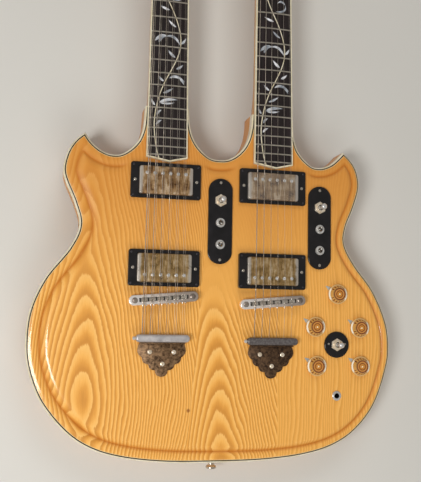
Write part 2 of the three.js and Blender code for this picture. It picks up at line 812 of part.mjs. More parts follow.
function saddle(x, width, floor, ridge) {
  const half = channelWidth / 2 - fitGap;
  const shoulder = mix(floor, ridge, 1 / 2);
  const profile = [
    new THREE.Vector2(-half, floor - fuseDepth), new THREE.Vector2(half, floor - fuseDepth),
    new THREE.Vector2(half, shoulder), new THREE.Vector2(saddleRidge / 2, ridge),
    new THREE.Vector2(-saddleRidge / 2, ridge), new THREE.Vector2(-half, shoulder),
  ];
  return bar(profile, x - width / 2, x + width / 2);
}

// Scalloped edge of the tailpiece on its right side, from the top corner to the tip
function tailEdge() {
  const corner = [1, 0];
  const notches = [corner, ...lobeShares].map(([across, along]) => (
    new THREE.Vector2(across * tailPlateHalfWidth, -along * tailPlateLength)
  ));
  const edge = [];
  notches.slice(1).forEach((end, i) => {
    const start = notches[i];
    const chord = end.clone().sub(start);
    const out = new THREE.Vector2(-chord.y, chord.x).multiplyScalar(lobeSwellShare * (i ? 2 : 0));
    for (let step = 0; step < (i ? lobeSteps : 1); step++) {
      const share = step / lobeSteps;
      const swell = Math.sin(Math.PI * share);
      edge.push(start.clone().addScaledVector(chord, share).addScaledVector(out, swell));
    }
  });
  return edge;
}

// Tailpiece in a frame whose origin is on the body's top under the string bar
function tailpiece() {
  const wall = tailPlateThickness;
  const back = -barWidth / 2 - fitGap;
  const right = tailEdge();
  const left = right.map((point) => new THREE.Vector2(-point.x, point.y)).reverse();
  const tip = new THREE.Vector2(0, -tailPlateLength);
  const plate = slab([...left, ...right.slice(0), tip].reverse(), fitGap, fitGap + wall);
  const shelfTop = barBottom - fitGap;
  const profile = [
    new THREE.Vector2(back - wall, fitGap), new THREE.Vector2(back, fitGap),
    new THREE.Vector2(back, shelfTop - wall), new THREE.Vector2(barWidth / 2, shelfTop - wall),
    new THREE.Vector2(barWidth / 2, shelfTop), new THREE.Vector2(back, shelfTop),
    new THREE.Vector2(back, shelfTop + lipHeight), new THREE.Vector2(back - wall, shelfTop + lipHeight),
  ];
  const bracket = bar(profile, -shelfWidth / 2, shelfWidth / 2);
  return solidOf(plate.translate(0, back, 0)).add(solidOf(bracket));
}

// String bar with its strings, in the guitar's frame: each string runs over its saddle and nut to its post
function stringBar(side) {
  const { strings, tailFrame, bridgeFrame, neckFrame, headFrame } = side;
  const radii = stringRadii(strings);
  const blockLevels = [
    [barRound / 2, barBottom], [0, barBottom + barRound], [0, barBottom + barHeight - barRound],
    [barRound / 2, barBottom + barHeight],
  ];
  const block = roundedBlock(barLength, barWidth, barWidth / 2 - fitGap, blockLevels);
  const saddles = saddlePlaces(strings);
  const nuts = nutPlaces(strings);
  const posts = postPlaces(strings);
  const lines = radii.map((radius, i) => {
    const outer = i < strings / 2 ? i : strings - 1 - i;
    const hand = i < strings / 2 ? -1 : 1;
    const beside = hand * (postInset - postRadius - radius - fitGap);
    const anchor = new THREE.Vector3(saddles[i], barWidth / 2 - barRound / 2, barBottom + barHeight / 2);
    const over = new THREE.Vector3(saddles[i], 0, saddleRise - camber(saddles[i]) + radius);
    const nutSeat = fretHeight + nutAction - camber(nuts[i]) + radius;
    const path = [
      tailFrame.localToWorld(anchor),
      bridgeFrame.localToWorld(over),
      neckFrame.localToWorld(new THREE.Vector3(nuts[i], scaleLength + nutThickness + fitGap, nutSeat)),
      headFrame.localToWorld(new THREE.Vector3(beside, posts[outer], stringLift)),
    ];
    return solidOf(stringAlong(path, radius));
  });
  return joined([solidOf(block, tailFrame.matrixWorld), ...lines]);
}

// A string of even thickness through a few points that all lie nearly along Y
function stringAlong(path, radius) {
  return loft(path.map((point) => Array.from({ length: stringSides }, (_, i) => {
    const angle = (-2 * Math.PI * i) / stringSides;
    return new THREE.Vector3(point.x + radius * Math.cos(angle), point.y, point.z + radius * Math.sin(angle));
  })));
}

function pickupRing(height) {
  const draft = fitGap;
  const outer = roundedBlock(ringLength, ringWidth, ringCorner, [
    [0, fitGap], [draft, height - draft], [draft * 2, height],
  ]);
  const opening = roundedBlock(coverLength + 2 * fitGap, coverWidth + 2 * fitGap, coverCorner, [
    [0, -cutOverrun], [0, height + cutOverrun],
  ]);
  return solidOf(outer).subtract(solidOf(opening));
}

// Pickup: covered coils with one row of pole screws, on the side that hand points to along Y
function pickup(top, hand) {
  const cover = roundedBlock(coverLength, coverWidth, coverCorner, [
    [0, -coverDepth], [0, top - coverRound], [coverRound / 2, top - coverRound / 3], [coverRound, top],
  ]);
  const poles = Array.from({ length: poleCount }, (_, i) => {
    const x = (i - (poleCount - 1) / 2) * poleSpacing;
    return solidOf(post(poleRadius, top - fuseDepth, top + poleHeight, postSides, x, hand * poleOffset));
  });
  return joined([solidOf(cover), ...poles]);
}

// Nut and collar of a switch, standing on its plate
function switchNut(nutRadius, nutHeight, collarRadius, collarHeight, y) {
  const base = switchPlateThickness - fuseDepth;
  const nutTop = switchPlateThickness + nutHeight;
  return [
    solidOf(post(nutRadius, base, nutTop, 6, 0, y)),
    solidOf(post(collarRadius, base, nutTop + collarHeight, roundSides, 0, y)),
  ];
}

function switchBore(radius, y) {
  return solidOf(post(radius, -cutOverrun, bodyThickness / 2, roundSides, 0, y));
}

function toggleNut(y) {
  return switchNut(toggleNutRadius, toggleNutHeight, toggleCollarRadius, toggleCollarHeight, y);
}

function switchPlate() {
  const edge = switchPlateThickness / 4;
  const plate = roundedBlock(switchPlateWidth, switchPlateLength, switchPlateWidth / 2 - fitGap, [
    [0, fitGap], [0, switchPlateThickness - edge], [edge, switchPlateThickness],
  ]);
  const minis = [miniOffsetNear, miniOffsetFar];
  const nuts = [
    ...toggleNut(toggleOffset),
    ...minis.flatMap((y) => switchNut(miniNutRadius, miniNutHeight, miniCollarRadius, miniCollarHeight, y)),
  ];
  const bores = [switchBore(toggleBore, toggleOffset), ...minis.map((y) => switchBore(miniBore, y))];
  return joined([solidOf(plate), ...nuts]).subtract(joined(bores));
}

function neckSwitchPlate() {
  const edge = switchPlateThickness / 4;
  const disc = turned([
    [0, fitGap], [neckSwitchRadius, fitGap], [neckSwitchRadius, switchPlateThickness - edge],
    [neckSwitchRadius - edge, switchPlateThickness], [0, switchPlateThickness],
  ], 2 * jackSides);
  return joined([solidOf(disc), ...toggleNut(0)]).subtract(switchBore(toggleBore, 0));
}

// Lever of a switch about the middle of its ball
function lever(ball, stem, tip, height, segments) {
  const neckZ = Math.sqrt(ball * ball - stem * stem);
  return solidOf(turned([
    [0, -ball], [ball * Math.SQRT1_2, -ball * Math.SQRT1_2], [ball, 0],
    [ball * Math.SQRT1_2, ball * Math.SQRT1_2], [stem, neckZ], [stem, height - 2 * tip],
    [tip, height - tip], [tip * Math.SQRT1_2, height - tip / 4], [0, height],
  ], segments));
}

// Knob: flanged barrel with a dished top on a stem that runs into the body
function knob() {
  const side = knobHeight - knobDish;
  return solidOf(turned([
    [0, -knobStemDepth], [knobStemRadius, -knobStemDepth], [knobStemRadius, fitGap], [knobRadius, fitGap],
    [knobRadius, knobFlange], [mix(knobRadius, knobTopRadius, 1 / 2), knobFlange + fitGap],
    [knobTopRadius, side], [knobTopRadius - knobDish, knobHeight], [0, side],
  ], knobSegments));
}

function outputJack() {
  return solidOf(turned([
    [0, -jackDepth], [jackBarrel, -jackDepth], [jackBarrel, fitGap], [jackNut, fitGap],
    [jackNut, jackNutHeight], [jackBore, jackNutHeight], [jackBore, jackFloor - jackDepth],
    [0, jackFloor - jackDepth],
  ], jackSides));
}

function rearCover(margin, bottom, top) {
  const grown = 2 * margin;
  return solidOf(roundedBlock(coverPlateWidth + grown, coverPlateLength + grown, coverPlateCorner, [
    [0, bottom], [0, top],
  ]).translate(...controlPlace(rearCoverPlace), 0));
}

// Tuner plate for one side of a head, in the head's frame: plate, housings and string posts
function tunerPlate(strings, hand) {
  const places = postPlaces(strings);
  const top = -headThickness - fitGap;
  const bottom = top - tunerPlateThickness;
  const x = hand * postInset;
  const side = tunerPlateWidth / 2;
  const plate = solidOf(box(x - side, x + side, places[0] - tunerPlateMargin,
    places.at(-1) + wormOffset + tunerPlateMargin, bottom, top));
  const solids = places.flatMap((y) => {
    const low = y + (wormOffset - housingLength) / 2;
    const half = housingWidth / 2;
    return [
      solidOf(box(x - half, x + half, low, low + housingLength, top - housingDepth, bottom + fuseDepth)),
      solidOf(post(postRadius, bottom + fuseDepth, postHeight, postSides, x, y)),
    ];
  });
  const bores = places.map((y) => {
    const outside = x + (hand * housingWidth) / 2;
    const hole = bore(wormRadius, -wormDepth, cutOverrun, keySides).rotateY((hand * Math.PI) / 2);
    return solidOf(hole.translate(outside, y + wormOffset, -headThickness - wormDrop));
  });
  return joined([plate, ...solids]).subtract(joined(bores));
}

// Tuner key about its own shaft: the shaft's inner end is at zero and the button is out along X
function tunerKey(hand) {
  const housingSide = postInset + housingWidth / 2;
  const inner = housingSide - wormDepth + fitGap;
  const buttonStart = headEndWidth / 2 + keyButtonStart - inner;
  const shaft = [wormRadius, wormRadius];
  const wide = [keyButtonWidth / 2, keyButtonThickness / 2];
  const tipShare = 0.78;
  const stations = [
    [0, ...shaft], [buttonStart, ...shaft], [buttonStart + keyButtonLength / 4, ...wide],
    [buttonStart + keyButtonLength, wide[0] * tipShare, wide[1] * tipShare],
  ];
  const rings = stations.map(([x, alongY, alongZ]) => Array.from({ length: keySides }, (_, i) => {
    const angle = (2 * Math.PI * i) / keySides;
    return new THREE.Vector3(hand * x, hand * alongY * Math.cos(angle), alongZ * Math.sin(angle));
  }));
  return solidOf(loft(rings));
}

// Frames that the pieces of one neck stand in
function sideFrames(guitar, side) {
  side.topFrame = frameAt(guitar, side.x, 0, topZ);
  side.tailFrame = frameAt(side.topFrame, 0, side.tailLine, 0);
  side.bridgeFrame = frameAt(side.topFrame, 0, side.bridgeLine, 0);
  side.bridgeFrame.rotation.z = bridgeSlant * degree;
  side.neckFrame = frameAt(side.topFrame, 0, 0, boardRise);
  side.neckFrame.rotation.x = -neckPitch * degree;
  side.headFrame = frameAt(side.neckFrame, 0, scaleLength + nutThickness, -boardThickness - fitGap);
  side.headFrame.rotation.x = -headAngle * degree;
  side.topFrame.updateMatrixWorld(true);
  side.headFrame.updateMatrix();
}

function addNeck(side) {
  const { strings, topFrame, tailFrame, bridgeFrame, neckFrame, headFrame } = side;
  piece(neckFrame, `neck_${strings}`, neck(strings, headFrame.matrix), "ash");
  piece(neckFrame, `fingerboard_${strings}`, fingerboard(), "ebony");
  piece(neckFrame, `nut_${strings}`, nut(strings), "bone");
  piece(bridgeFrame, `bridge_${strings}`, bridge(strings), "nickel");
  piece(tailFrame, `tailpiece_plate_${strings}`, tailpiece(), "bronze");
  const rows = [
    ["neck", neckPickupLine, neckRingHeight, neckCoverTop, 1],
    ["bridge", bridgePickupLine, bridgeRingHeight, bridgeCoverTop, -1],
  ];
  rows.forEach(([place, line, ringHeight, coverTop, hand]) => {
    const frame = frameAt(topFrame, 0, line, 0);
    piece(frame, `pickup_ring_${place}_${strings}`, pickupRing(ringHeight), "black");
    piece(frame, `pickup_${place}_${strings}`, pickup(coverTop, hand), "nickel");
  });
}

function addTuners(side) {
  const { strings, headFrame } = side;
  const inner = postInset + housingWidth / 2 - wormDepth + fitGap;
  for (const [handName, hand] of [["left", -1], ["right", 1]]) {
    piece(headFrame, `tuner_plate_${strings}_${handName}`, tunerPlate(strings, hand), "nickel");
    postPlaces(strings).forEach((y, i) => {
      const key = piece(headFrame, `tuner_key_${strings}_${handName}_${i + 1}`, tunerKey(hand), "nickel");
      key.position.set(hand * inner, y + wormOffset, -headThickness - wormDrop);
    });
  }
}

function addSwitches(guitar, side) {
  const { strings, plateX, plateY, miniTilts } = side;
  const frame = frameAt(guitar, plateX, plateY, topZ);
  piece(frame, `switch_plate_${strings}`, switchPlate(), "black");
  const toggle = piece(frame, `pickup_switch_lever_${strings}`, toggleLever(), "nickel");
  toggle.position.set(0, toggleOffset, toggleBall + ballLift);
  [miniOffsetNear, miniOffsetFar].forEach((y, i) => {
    const name = `mini_switch_lever_${strings}_${i ? "lower" : "upper"}`;
    const mini = piece(frame, name, lever(miniBall, miniStem, miniTip, miniHeight, keySides), "steel");
    mini.position.set(0, y, miniBall + ballLift);
    mini.rotation.x = -miniTilts[i] * switchTilt * degree;
  });
}

function toggleLever() {
  return lever(toggleBall, toggleStem, toggleTip, toggleHeight, roundSides);
}

function controlPlace({ acrossShare, alongShare }) {
  return [(acrossShare * bodyWidth) / 2, alongShare * (alongShare < 0 ? tailLength : hornReach)];
}

function addControls(guitar) {
  const frame = frameAt(guitar, ...controlPlace(neckSwitchPlace), topZ);
  piece(frame, "neck_switch_plate", neckSwitchPlate(), "black");
  const selector = piece(frame, "neck_switch_lever", toggleLever(), "nickel");
  selector.position.z = toggleBall + ballLift;
  Object.entries(knobPlaces).forEach(([word, place]) => {
    const name = word.replace(/[A-Z]/, (letter) => `_${letter.toLowerCase()}`);
    const turning = piece(guitar, `knob_${name}`, knob(), "amber");
    turning.position.set(...controlPlace(place), topZ);
  });
  const jack = piece(guitar, "output_jack", outputJack(), "nickel");
  jack.position.set(...controlPlace(jackPlace), topZ);
  piece(guitar, "rear_cover", rearCover(0, coverPlateSink, coverPlateSink + coverPlateThickness), "black");
}

// What is cut from the body blank: pockets, bores and seats, each from the piece that fits it
function bodyCuts(sides) {
  const cuts = [rearCover(fitGap, -cutOverrun, coverPlateSink + coverPlateThickness + fitGap)];
  const deepest = -boardThickness - fitGap - tenonDepth - fitGap;
  const pocketHalf = { x: coverLength / 2 + pocketMargin, y: coverWidth / 2 + pocketMargin };
  for (const { topFrame, bridgeFrame, neckFrame } of sides) {
    const board = slab(boardOutline(fitGap, tongueReach + cutOverrun), -boardThickness - fitGap, topZ);
    const tenonHalf = tenonWidth / 2 + fitGap;
    const pocket = box(-tenonHalf, tenonHalf, tenonStart, tongueReach + cutOverrun, deepest, topZ);
    const end = box(-tongueWidth, tongueWidth, tongueReach, tongueReach + cutOverrun, -2 * topZ, topZ);
    cuts.push(...[board, pocket, end].map((cutter) => solidOf(cutter, neckFrame.matrixWorld)));
    for (const line of [neckPickupLine, bridgePickupLine]) {
      cuts.push(solidOf(box(-pocketHalf.x, pocketHalf.x, line - pocketHalf.y, line + pocketHalf.y,
        -pocketDepth, cutOverrun), topFrame.matrixWorld));
    }
    for (const x of [-bridgePostSpacing / 2, bridgePostSpacing / 2]) {
      cuts.push(solidOf(post(bridgePostRadius + fitGap, -bridgePostDepth - fitGap, cutOverrun, roundSides, x),
        bridgeFrame.matrixWorld));
    }
  }
  Object.values(knobPlaces).forEach((place) => {
    cuts.push(solidOf(bore(knobStemRadius, topZ - knobStemDepth - fitGap, topZ + cutOverrun,
      roundSides, ...controlPlace(place))));
  });
  cuts.push(solidOf(bore(jackBarrel, topZ - jackDepth - fitGap, topZ + cutOverrun,
    jackSides, ...controlPlace(jackPlace))));
  return joined(cuts);
}

function buildGuitar() {
  const guitar = new THREE.Group();
  const sides = [
    { strings: 12, x: -neckSpacing / 2, bridgeLine: bridgeLine12, tailLine: tailLine12,
      plateX: middlePlateShift, plateY: switchPlateLine12, miniTilts: [-1, 1] },
    { strings: 6, x: neckSpacing / 2, bridgeLine: bridgeLine6, tailLine: tailLine6,
      plateX: outerPlateX, plateY: switchPlateLine6, miniTilts: [1, 1] },
  ];
  sides.forEach((side) => sideFrames(guitar, side));
  piece(guitar, "body", bodyBlank().subtract(bodyCuts(sides)).add(tailStrapButton()), "ash");
  for (const side of sides) {
    addNeck(side);
    addSwitches(guitar, side);
    piece(guitar, `string_bar_${side.strings}`, stringBar(side), "steel");
    addTuners(side);
  }
  addControls(guitar);
  return guitar;
}

export default buildGuitar();
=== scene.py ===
import bmesh
import bpy
import math
from mathutils import Matrix, Vector
from mathutils.geometry import delaunay_2d_cdt
from mathutils.kdtree import KDTree


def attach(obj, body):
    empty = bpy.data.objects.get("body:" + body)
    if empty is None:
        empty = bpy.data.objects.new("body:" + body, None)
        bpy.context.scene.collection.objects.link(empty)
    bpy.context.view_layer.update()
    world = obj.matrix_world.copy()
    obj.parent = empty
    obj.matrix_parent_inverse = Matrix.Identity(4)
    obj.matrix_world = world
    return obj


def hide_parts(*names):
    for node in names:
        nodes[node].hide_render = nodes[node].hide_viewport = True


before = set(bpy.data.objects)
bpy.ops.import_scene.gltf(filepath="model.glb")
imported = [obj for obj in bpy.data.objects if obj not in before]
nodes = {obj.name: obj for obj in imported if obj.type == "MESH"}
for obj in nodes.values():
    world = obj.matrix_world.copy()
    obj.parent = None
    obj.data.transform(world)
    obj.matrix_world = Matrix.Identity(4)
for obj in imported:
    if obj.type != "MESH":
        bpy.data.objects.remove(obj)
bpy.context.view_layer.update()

# Pieces are drawn in millimetres, and settled in the frame's metres at the end.
toMetres = Matrix.Scale(0.001, 4)
neckAway = 72.25  # from the middle of the body to each neck's centre line
sideways = {"12": -neckAway, "6": neckAway}
bodyTop = 46
fitGap = 0.3  # below a piece that sits on another
hair = 0.001  # two places nearer than this are the same
neckLie = {"rise": 11, "pitch": -1.25, "head": (633, -6.3), "headPitch": -13, "round": 1.2}


# Small helpers

def tint(code):
    parts = [int(code[i:i + 2], 16) / 255 for i in (0, 2, 4)]
    line = [p / 12.92 if p <= 0.04045 else ((p + 0.055) / 1.055) ** 2.4 for p in parts]
    return (*line, 1)


def mix(low, high, share):
    return low + (high - low) * share


def ease(low, high, value):
    share = min(1, max(0, (value - low) / (high - low)))
    return share * share * (3 - 2 * share)


def shift(x, y, z=0):
    return Matrix.Translation((x, y, z))


def turn(degrees, axis):
    return Matrix.Rotation(math.radians(degrees), 4, axis)


def neckPlace(side):
    return shift(sideways[side], 0, bodyTop + neckLie["rise"]) @ turn(neckLie["pitch"], "X")


def headPlace(side):
    return neckPlace(side) @ shift(0, *neckLie["head"]) @ turn(neckLie["headPitch"], "X")


# Finishes, made of noise and sums on the object's own coordinates

class Amount:
    # a socket that plain sums can be written with
    def __init__(self, finish, socket):
        self.finish = finish
        self.socket = socket

    def math(self, operation, *values):
        return self.finish.node("Math", {"operation": operation}, dict(enumerate(values)))

    def __abs__(self):
        return self.math("ABSOLUTE", self)


def addSum(word, operation, reflected=True):
    setattr(Amount, "__" + word + "__", lambda self, other: self.math(operation, self, other))
    if reflected:
        setattr(Amount, "__r" + word + "__", lambda self, other: self.math(operation, other, self))


for word, operation in (("add", "ADD"), ("sub", "SUBTRACT"), ("mul", "MULTIPLY")):
    addSum(word, operation)
for word, operation in (("truediv", "DIVIDE"), ("pow", "POWER"), ("lt", "LESS_THAN"), ("gt", "GREATER_THAN")):
    addSum(word, operation, reflected=False)


class Finish:
    def __init__(self, name, **constants):
        self.material = bpy.data.materials.new(name)
        self.material.use_nodes = True
        self.tree = self.material.node_tree
        self.shader = self.tree.nodes["Principled BSDF"]
        for word, value in constants.items():
            self.shader.inputs[word.replace("_", " ")].default_value = value

    def node(self, kind, settings=None, inputs=None, output=0):
        made = self.tree.nodes.new("ShaderNode" + kind)
        for word, value in (settings or {}).items():
            if word == "stops":
                ramp = made.color_ramp
                while len(ramp.elements) < len(value):
                    ramp.elements.new(1)
                for element, (place, colour) in zip(ramp.elements, value):
                    element.position, element.color = place, colour
            else:
                setattr(made, word, value)
        for socket, value in (inputs or {}).items():
            if isinstance(value, Amount):
                self.tree.links.new(value.socket, made.inputs[socket])
            else:
                made.inputs[socket].default_value = value
        return Amount(self, made.outputs[output])

    def spot(self):
        return self.node("TexCoord", output="Object")

    def millimetres(self):
        spot = self.node("VectorMath", {"operation": "SCALE"}, {0: self.spot(), "Scale": 1000})
        parts = [self.node("SeparateXYZ", {}, {0: spot}, output=i) for i in range(3)]
        return spot, parts

    def span(self, value, start, end, low, high, steps="LINEAR"):
        # low to high, as the value goes from start to end
        inputs = {"Value": value, "From Min": start, "From Max": end, "To Min": low, "To Max": high}
        return self.node("MapRange", {"interpolation_type": steps}, inputs)

    def softSpan(self, *values):
        return self.span(*values, "SMOOTHSTEP")

    def noise(self, spot, stretch, detail=2, rough=0.5):
        scaled = self.node("Mapping", {}, {"Vector": spot, "Scale": stretch})
        inputs = {"Vector": scaled, "Scale": 1, "Detail": detail, "Roughness": rough}
        return self.node("TexNoise", {}, inputs, "Fac")

    def ramp(self, amount, stops):
        return self.node("ValToRGB", {"stops": stops}, {0: amount})

    def blend(self, share, low, high):
        return self.node("Mix", {"data_type": "RGBA"}, {0: share, 6: low, 7: high}, output=2)

    def bump(self, height, strength, distance):
        inputs = {"Height": height, "Strength": strength, "Distance": distance}
        return self.node("Bump", {}, inputs)

    def feed(self, **sockets):
        for word, value in sockets.items():
            self.tree.links.new(value.socket, self.shader.inputs[word.replace("_", " ")])
        return self.material


ashLooks = {
    "dark": tint("d08a34"), "amber": tint("e69f42"), "light": tint("fab95c"), "pale": tint("ffc872"),
    # the groove colour darkens the carved groove's crease: partly a deeper lacquer tint, partly painted shade
    "groove": tint("bf6d13"), "grooveTintAndShade": 0.8, "horn": tint("cd7f2c"),
    "knot": tint("8a4a16"), "knotAt": (-36, -140), "knotReach": (1, 3.4),
    "left": {"x": -168, "deep": 27.2, "widen": 0.0014, "climb": 0.16, "ring": 4.8, "low": -123,
             "slant": 320},  # the slant rounds the points of the ovals
    "middle": {"x": -4.9, "lean": -0.075, "bow": 0.078, "round": 40, "steep": 6.4, "ring": 27, "top": 6.8},
    "right": {"ring": 4.4, "uneven": 16},
    "seamLeft": -24, "seamLean": 0.079, "seamRight": 84.5,  # of the three boards that the top is glued from
    # the warm change is painted shade: the wood darker and more orange towards the horns
    # along the body, the start and end of each change, and how much of it is reached
    "upperPlain": (0, 60, 0, 0.25), "middlePlain": (-30, 15, 0, 0.72), "warm": (-10, 200, 0, 0.66),
}


def ovals(looks, x, y, z):
    # rings of a log that the top cuts at a slant: nested ovals, their points along the body
    across = x - looks["x"]
    down = z - (bodyTop - looks["deep"])
    reach = (across * across + down * down) ** 0.5 + across * across * looks["widen"]
    away = y - looks["low"]
    along = (away * away + looks["slant"]) ** 0.5
    return (reach + along * looks["climb"]) / looks["ring"]


def ashFinish(name, coat):
    looks = ashLooks
    finish = Finish(name, Specular_IOR_Level=0.3, Coat_Weight=coat, Coat_Roughness=0.1)
    spot, (x, y, z) = finish.millimetres()
    knotX, knotY = (a - b for a, b in zip((x, y), looks["knotAt"]))
    knot = finish.softSpan((knotX * knotX + knotY * knotY) ** 0.5, *looks["knotReach"], 0.8, 0)
    sway = finish.noise(spot, (0.012, 0.004, 0.012)) - 0.5
    waver = finish.noise(spot, (0.05, 0.014, 0.05)) - 0.5
    ragged = finish.noise(spot, (0.9, 0.07, 0.9), 2, 0.6) - 0.5
    x = x + sway * 22 + waver * 2.5
    left = ovals(looks["left"], x, y, z)
    arch = looks["middle"]  # round arches, whose legs run straight down from some way out
    across = abs(x - arch["x"] - y * arch["lean"])
    near = across.math("MINIMUM", across, arch["round"])
    drop = near * near * arch["bow"] + (across - near) * arch["steep"]
    middle = (y + arch["top"] + drop) / arch["ring"] + (bodyTop - z) * 0.12
    uneven = finish.noise(spot, (0.045, 0.002, 0.045), 1) - 0.5
    right = (x + uneven * looks["right"]["uneven"]) / looks["right"]["ring"] + sway * 3
    inLeft = x < y * looks["seamLean"] + looks["seamLeft"]
    inRight = x > looks["seamRight"]
    inMiddle = 1 - inLeft - inRight
    rings = left * inLeft + middle * inMiddle + right * inRight + waver * 0.9 + ragged * 0.3
    phase = rings.math("FRACT", rings)
    bands = finish.ramp(phase, [
        (0, looks["dark"]), (0.12, looks["dark"]), (0.38, looks["amber"]),
        (0.6, looks["light"]), (0.92, looks["pale"]), (1, looks["dark"]),
    ])
    plain = finish.blend(0.62, looks["amber"], looks["light"])
    upper = finish.softSpan(y, *looks["upperPlain"])
    fade = finish.softSpan(y, *looks["middlePlain"])
    drift = finish.noise(spot, (0.02, 0.006, 0.02))
    soft = upper + (inRight * 0.4 + inMiddle * fade + drift * 0.35) * (1 - upper)
    wood = finish.blend(soft, bands, plain)
    # towards the horns the wood turns the darker horn colour: painted shade where the light falls off
    wood = finish.blend(finish.softSpan(y, *looks["warm"]), wood, looks["horn"])
    pores = finish.noise(spot, (2.2, 0.09, 2.2), 1)
    wood = finish.blend(finish.span(pores, 0.56, 0.75, 0, 0.3), wood, looks["dark"])
    # the carved groove darker: partly a deeper lacquer tint, partly painted shade in its crease
    groove = finish.node("Attribute", {"attribute_name": "groove"}, output="Fac")
    wood = finish.blend(groove * looks["grooveTintAndShade"], wood, looks["groove"])
    wood = finish.blend(knot, wood, looks["knot"])
    gloss = finish.noise(spot, (0.02, 0.02, 0.02))
    rough = finish.span(gloss, 0, 1, 0.34, 0.5)
    skin = finish.bump(ragged, 0.06, 0.0005)
    return finish.feed(Base_Color=wood, Roughness=rough, Normal=skin)


def neckFinish():
    finish = Finish("lacquered neck", Roughness=0.3, Specular_IOR_Level=0.25, Coat_Weight=0.3,
                    Coat_Roughness=0.08)
    spot = finish.millimetres()[0]
    sway = finish.noise(spot, (0.02, 0.004, 0.02)) - 0.5
    lines = finish.noise(spot, (0.5, 0.012, 0.06), 3, 0.6)
    wood = finish.ramp(lines + sway * 0.3, [
        (0.3, tint("ae6a1a")), (0.5, tint("cc882c")), (0.7, tint("dd9c3e")),
    ])
    fine = finish.noise(spot, (3, 0.08, 0.5), 1)
    wood = finish.blend(finish.span(fine, 0.55, 1, 0, 0.35), wood, tint("8f5218"))
    return finish.feed(Base_Color=wood, Normal=finish.bump(fine, 0.05, 0.0003))


def plainFinish(name, colour, other, roughness, grain=0.05, metal=0, coat=0, bump=0.05, stretch=(1, 1, 1)):
    finish = Finish(name, Metallic=metal, Coat_Weight=coat, Coat_Roughness=0.08)
    spot = finish.millimetres()[0]
    patches = finish.noise(spot, tuple(grain * part for part in stretch), 4, 0.6)
    shade = finish.ramp(patches, [(0.35, tint(colour)), (0.65, tint(other))])
    rough = finish.span(patches, 0.3, 0.7, *roughness)
    fine = finish.noise(spot, tuple(12 * grain * part for part in stretch), 2, 0.6)
    return finish.feed(Base_Color=shade, Roughness=rough, Normal=finish.bump(fine, bump, 0.0003))


finishes = {
    "ash": ashFinish("lacquered ash", 0.8), "ashSide": ashFinish("satin ash", 0.15),
    "neck": neckFinish(),
    "ebony": plainFinish("ebony", "17110f", "2a2021", (0.35, 0.5), 0.4, stretch=(1, 0.05, 1)),
    "cream": plainFinish("cream binding", "efe6cc", "ddd0ac", (0.25, 0.35), 0.08, coat=0.5),
    "darkLine": plainFinish("dark binding line", "2c1c12", "120c0a", (0.3, 0.4), 0.35, coat=0.5),
    "paleLine": plainFinish("pale binding line", "f0d9a2", "e0c183", (0.3, 0.4), 0.1, coat=0.5),
    "bone": plainFinish("bone nut", "ece4ce", "dccfae", (0.35, 0.5), 0.2),
    "black": plainFinish("black plastic", "0c0b0c", "171416", (0.16, 0.28), 0.06, coat=0.4, bump=0.03),
    "nickel": plainFinish("polished nickel", "e8e0d4", "b8ac9b", (0.18, 0.34), 0.3, 0.75, bump=0.06),
    "dim": plainFinish("dull screw", "4c494e", "38353a", (0.4, 0.5), 0.3, 0.5),
    "rosy": plainFinish("warm nickel", "fff2de", "ecd8b8", (0.2, 0.34), 0.2, 0.5, bump=0.04),
    "bright": plainFinish("bright steel", "f6f4f0", "cdc9c2", (0.2, 0.34), 0.25, 0.6, bump=0.05),
    "aged": plainFinish("aged nickel", "cfc2b2", "93837a", (0.24, 0.42), 0.12, 0.8, bump=0.08),
    "plated": plainFinish("plated tuner", "e6e1d8", "c8c1b6", (0.16, 0.28), 0.06, 0.8, bump=0.03),
    "fret": plainFinish("fret wire", "b2aa9c", "ccc4b4", (0.35, 0.5), 0.2, 0.7),
    # one bronze for both tail plates: the left plate's lighter colours are painted light, the right plate's
    # darker ones painted shade
    "bronze12": plainFinish("bronze in painted light", "4a3422", "a5825e", (0.3, 0.5), 0.3, 0.6, bump=0.3),
    "bronze6": plainFinish("bronze in painted shade", "33241a", "74583f", (0.3, 0.5), 0.3, 0.6, bump=0.3),
    "steel": plainFinish("string steel", "dedad2", "c0bab0", (0.2, 0.35), 0.3, 0.9),
    "pointer": plainFinish("pointer steel", "d2d8d4", "a8aeac", (0.3, 0.45), 0.2, 0.4),
    "pearl": plainFinish("pearl inlay", "f2f2f4", "7e868e", (0.15, 0.3), 0.07, coat=0.5),
}


def coverFinish():
    # worn gold-brown plating with painted reflections streaked along it, silvery again towards the two ends
    finish = Finish("worn pickup cover", Metallic=0.6, Coat_Weight=0.2)
    spot, (x, y, z) = finish.millimetres()
    patches = finish.noise(spot, (0.09, 0.09, 0.09), 4, 0.65)
    # streaks along the cover: painted reflections
    reflectionStreaks = finish.noise(spot, (0.35, 0.04, 0.35))
    scratches = finish.noise(spot, (1.1, 0.08, 1.1), 2, 0.6)
    middle = finish.ramp(patches * 0.4 + reflectionStreaks * 0.3 + scratches * 0.3, [
        (0.4, tint("604228")), (0.47, tint("9a744a")), (0.53, tint("c49e6e")), (0.59, tint("e6ceae")),
    ])
    end = finish.softSpan(abs(abs(x) - neckAway) + (patches - 0.5) * 6, 29, 32.5, 0, 0.8)
    atNeck = y > 100
    middle = finish.blend(atNeck * (x > 0) * 0.4, middle, tint("a8a29a"))
    middle = finish.blend((1 - atNeck) * 0.25, middle, tint("ad9958"))
    shade = finish.blend(end, middle, tint("cfc9c0"))
    rough = finish.span(patches, 0.3, 0.7, 0.24, 0.42)
    return finish.feed(Base_Color=shade, Roughness=rough, Normal=finish.bump(patches, 0.05, 0.0005))


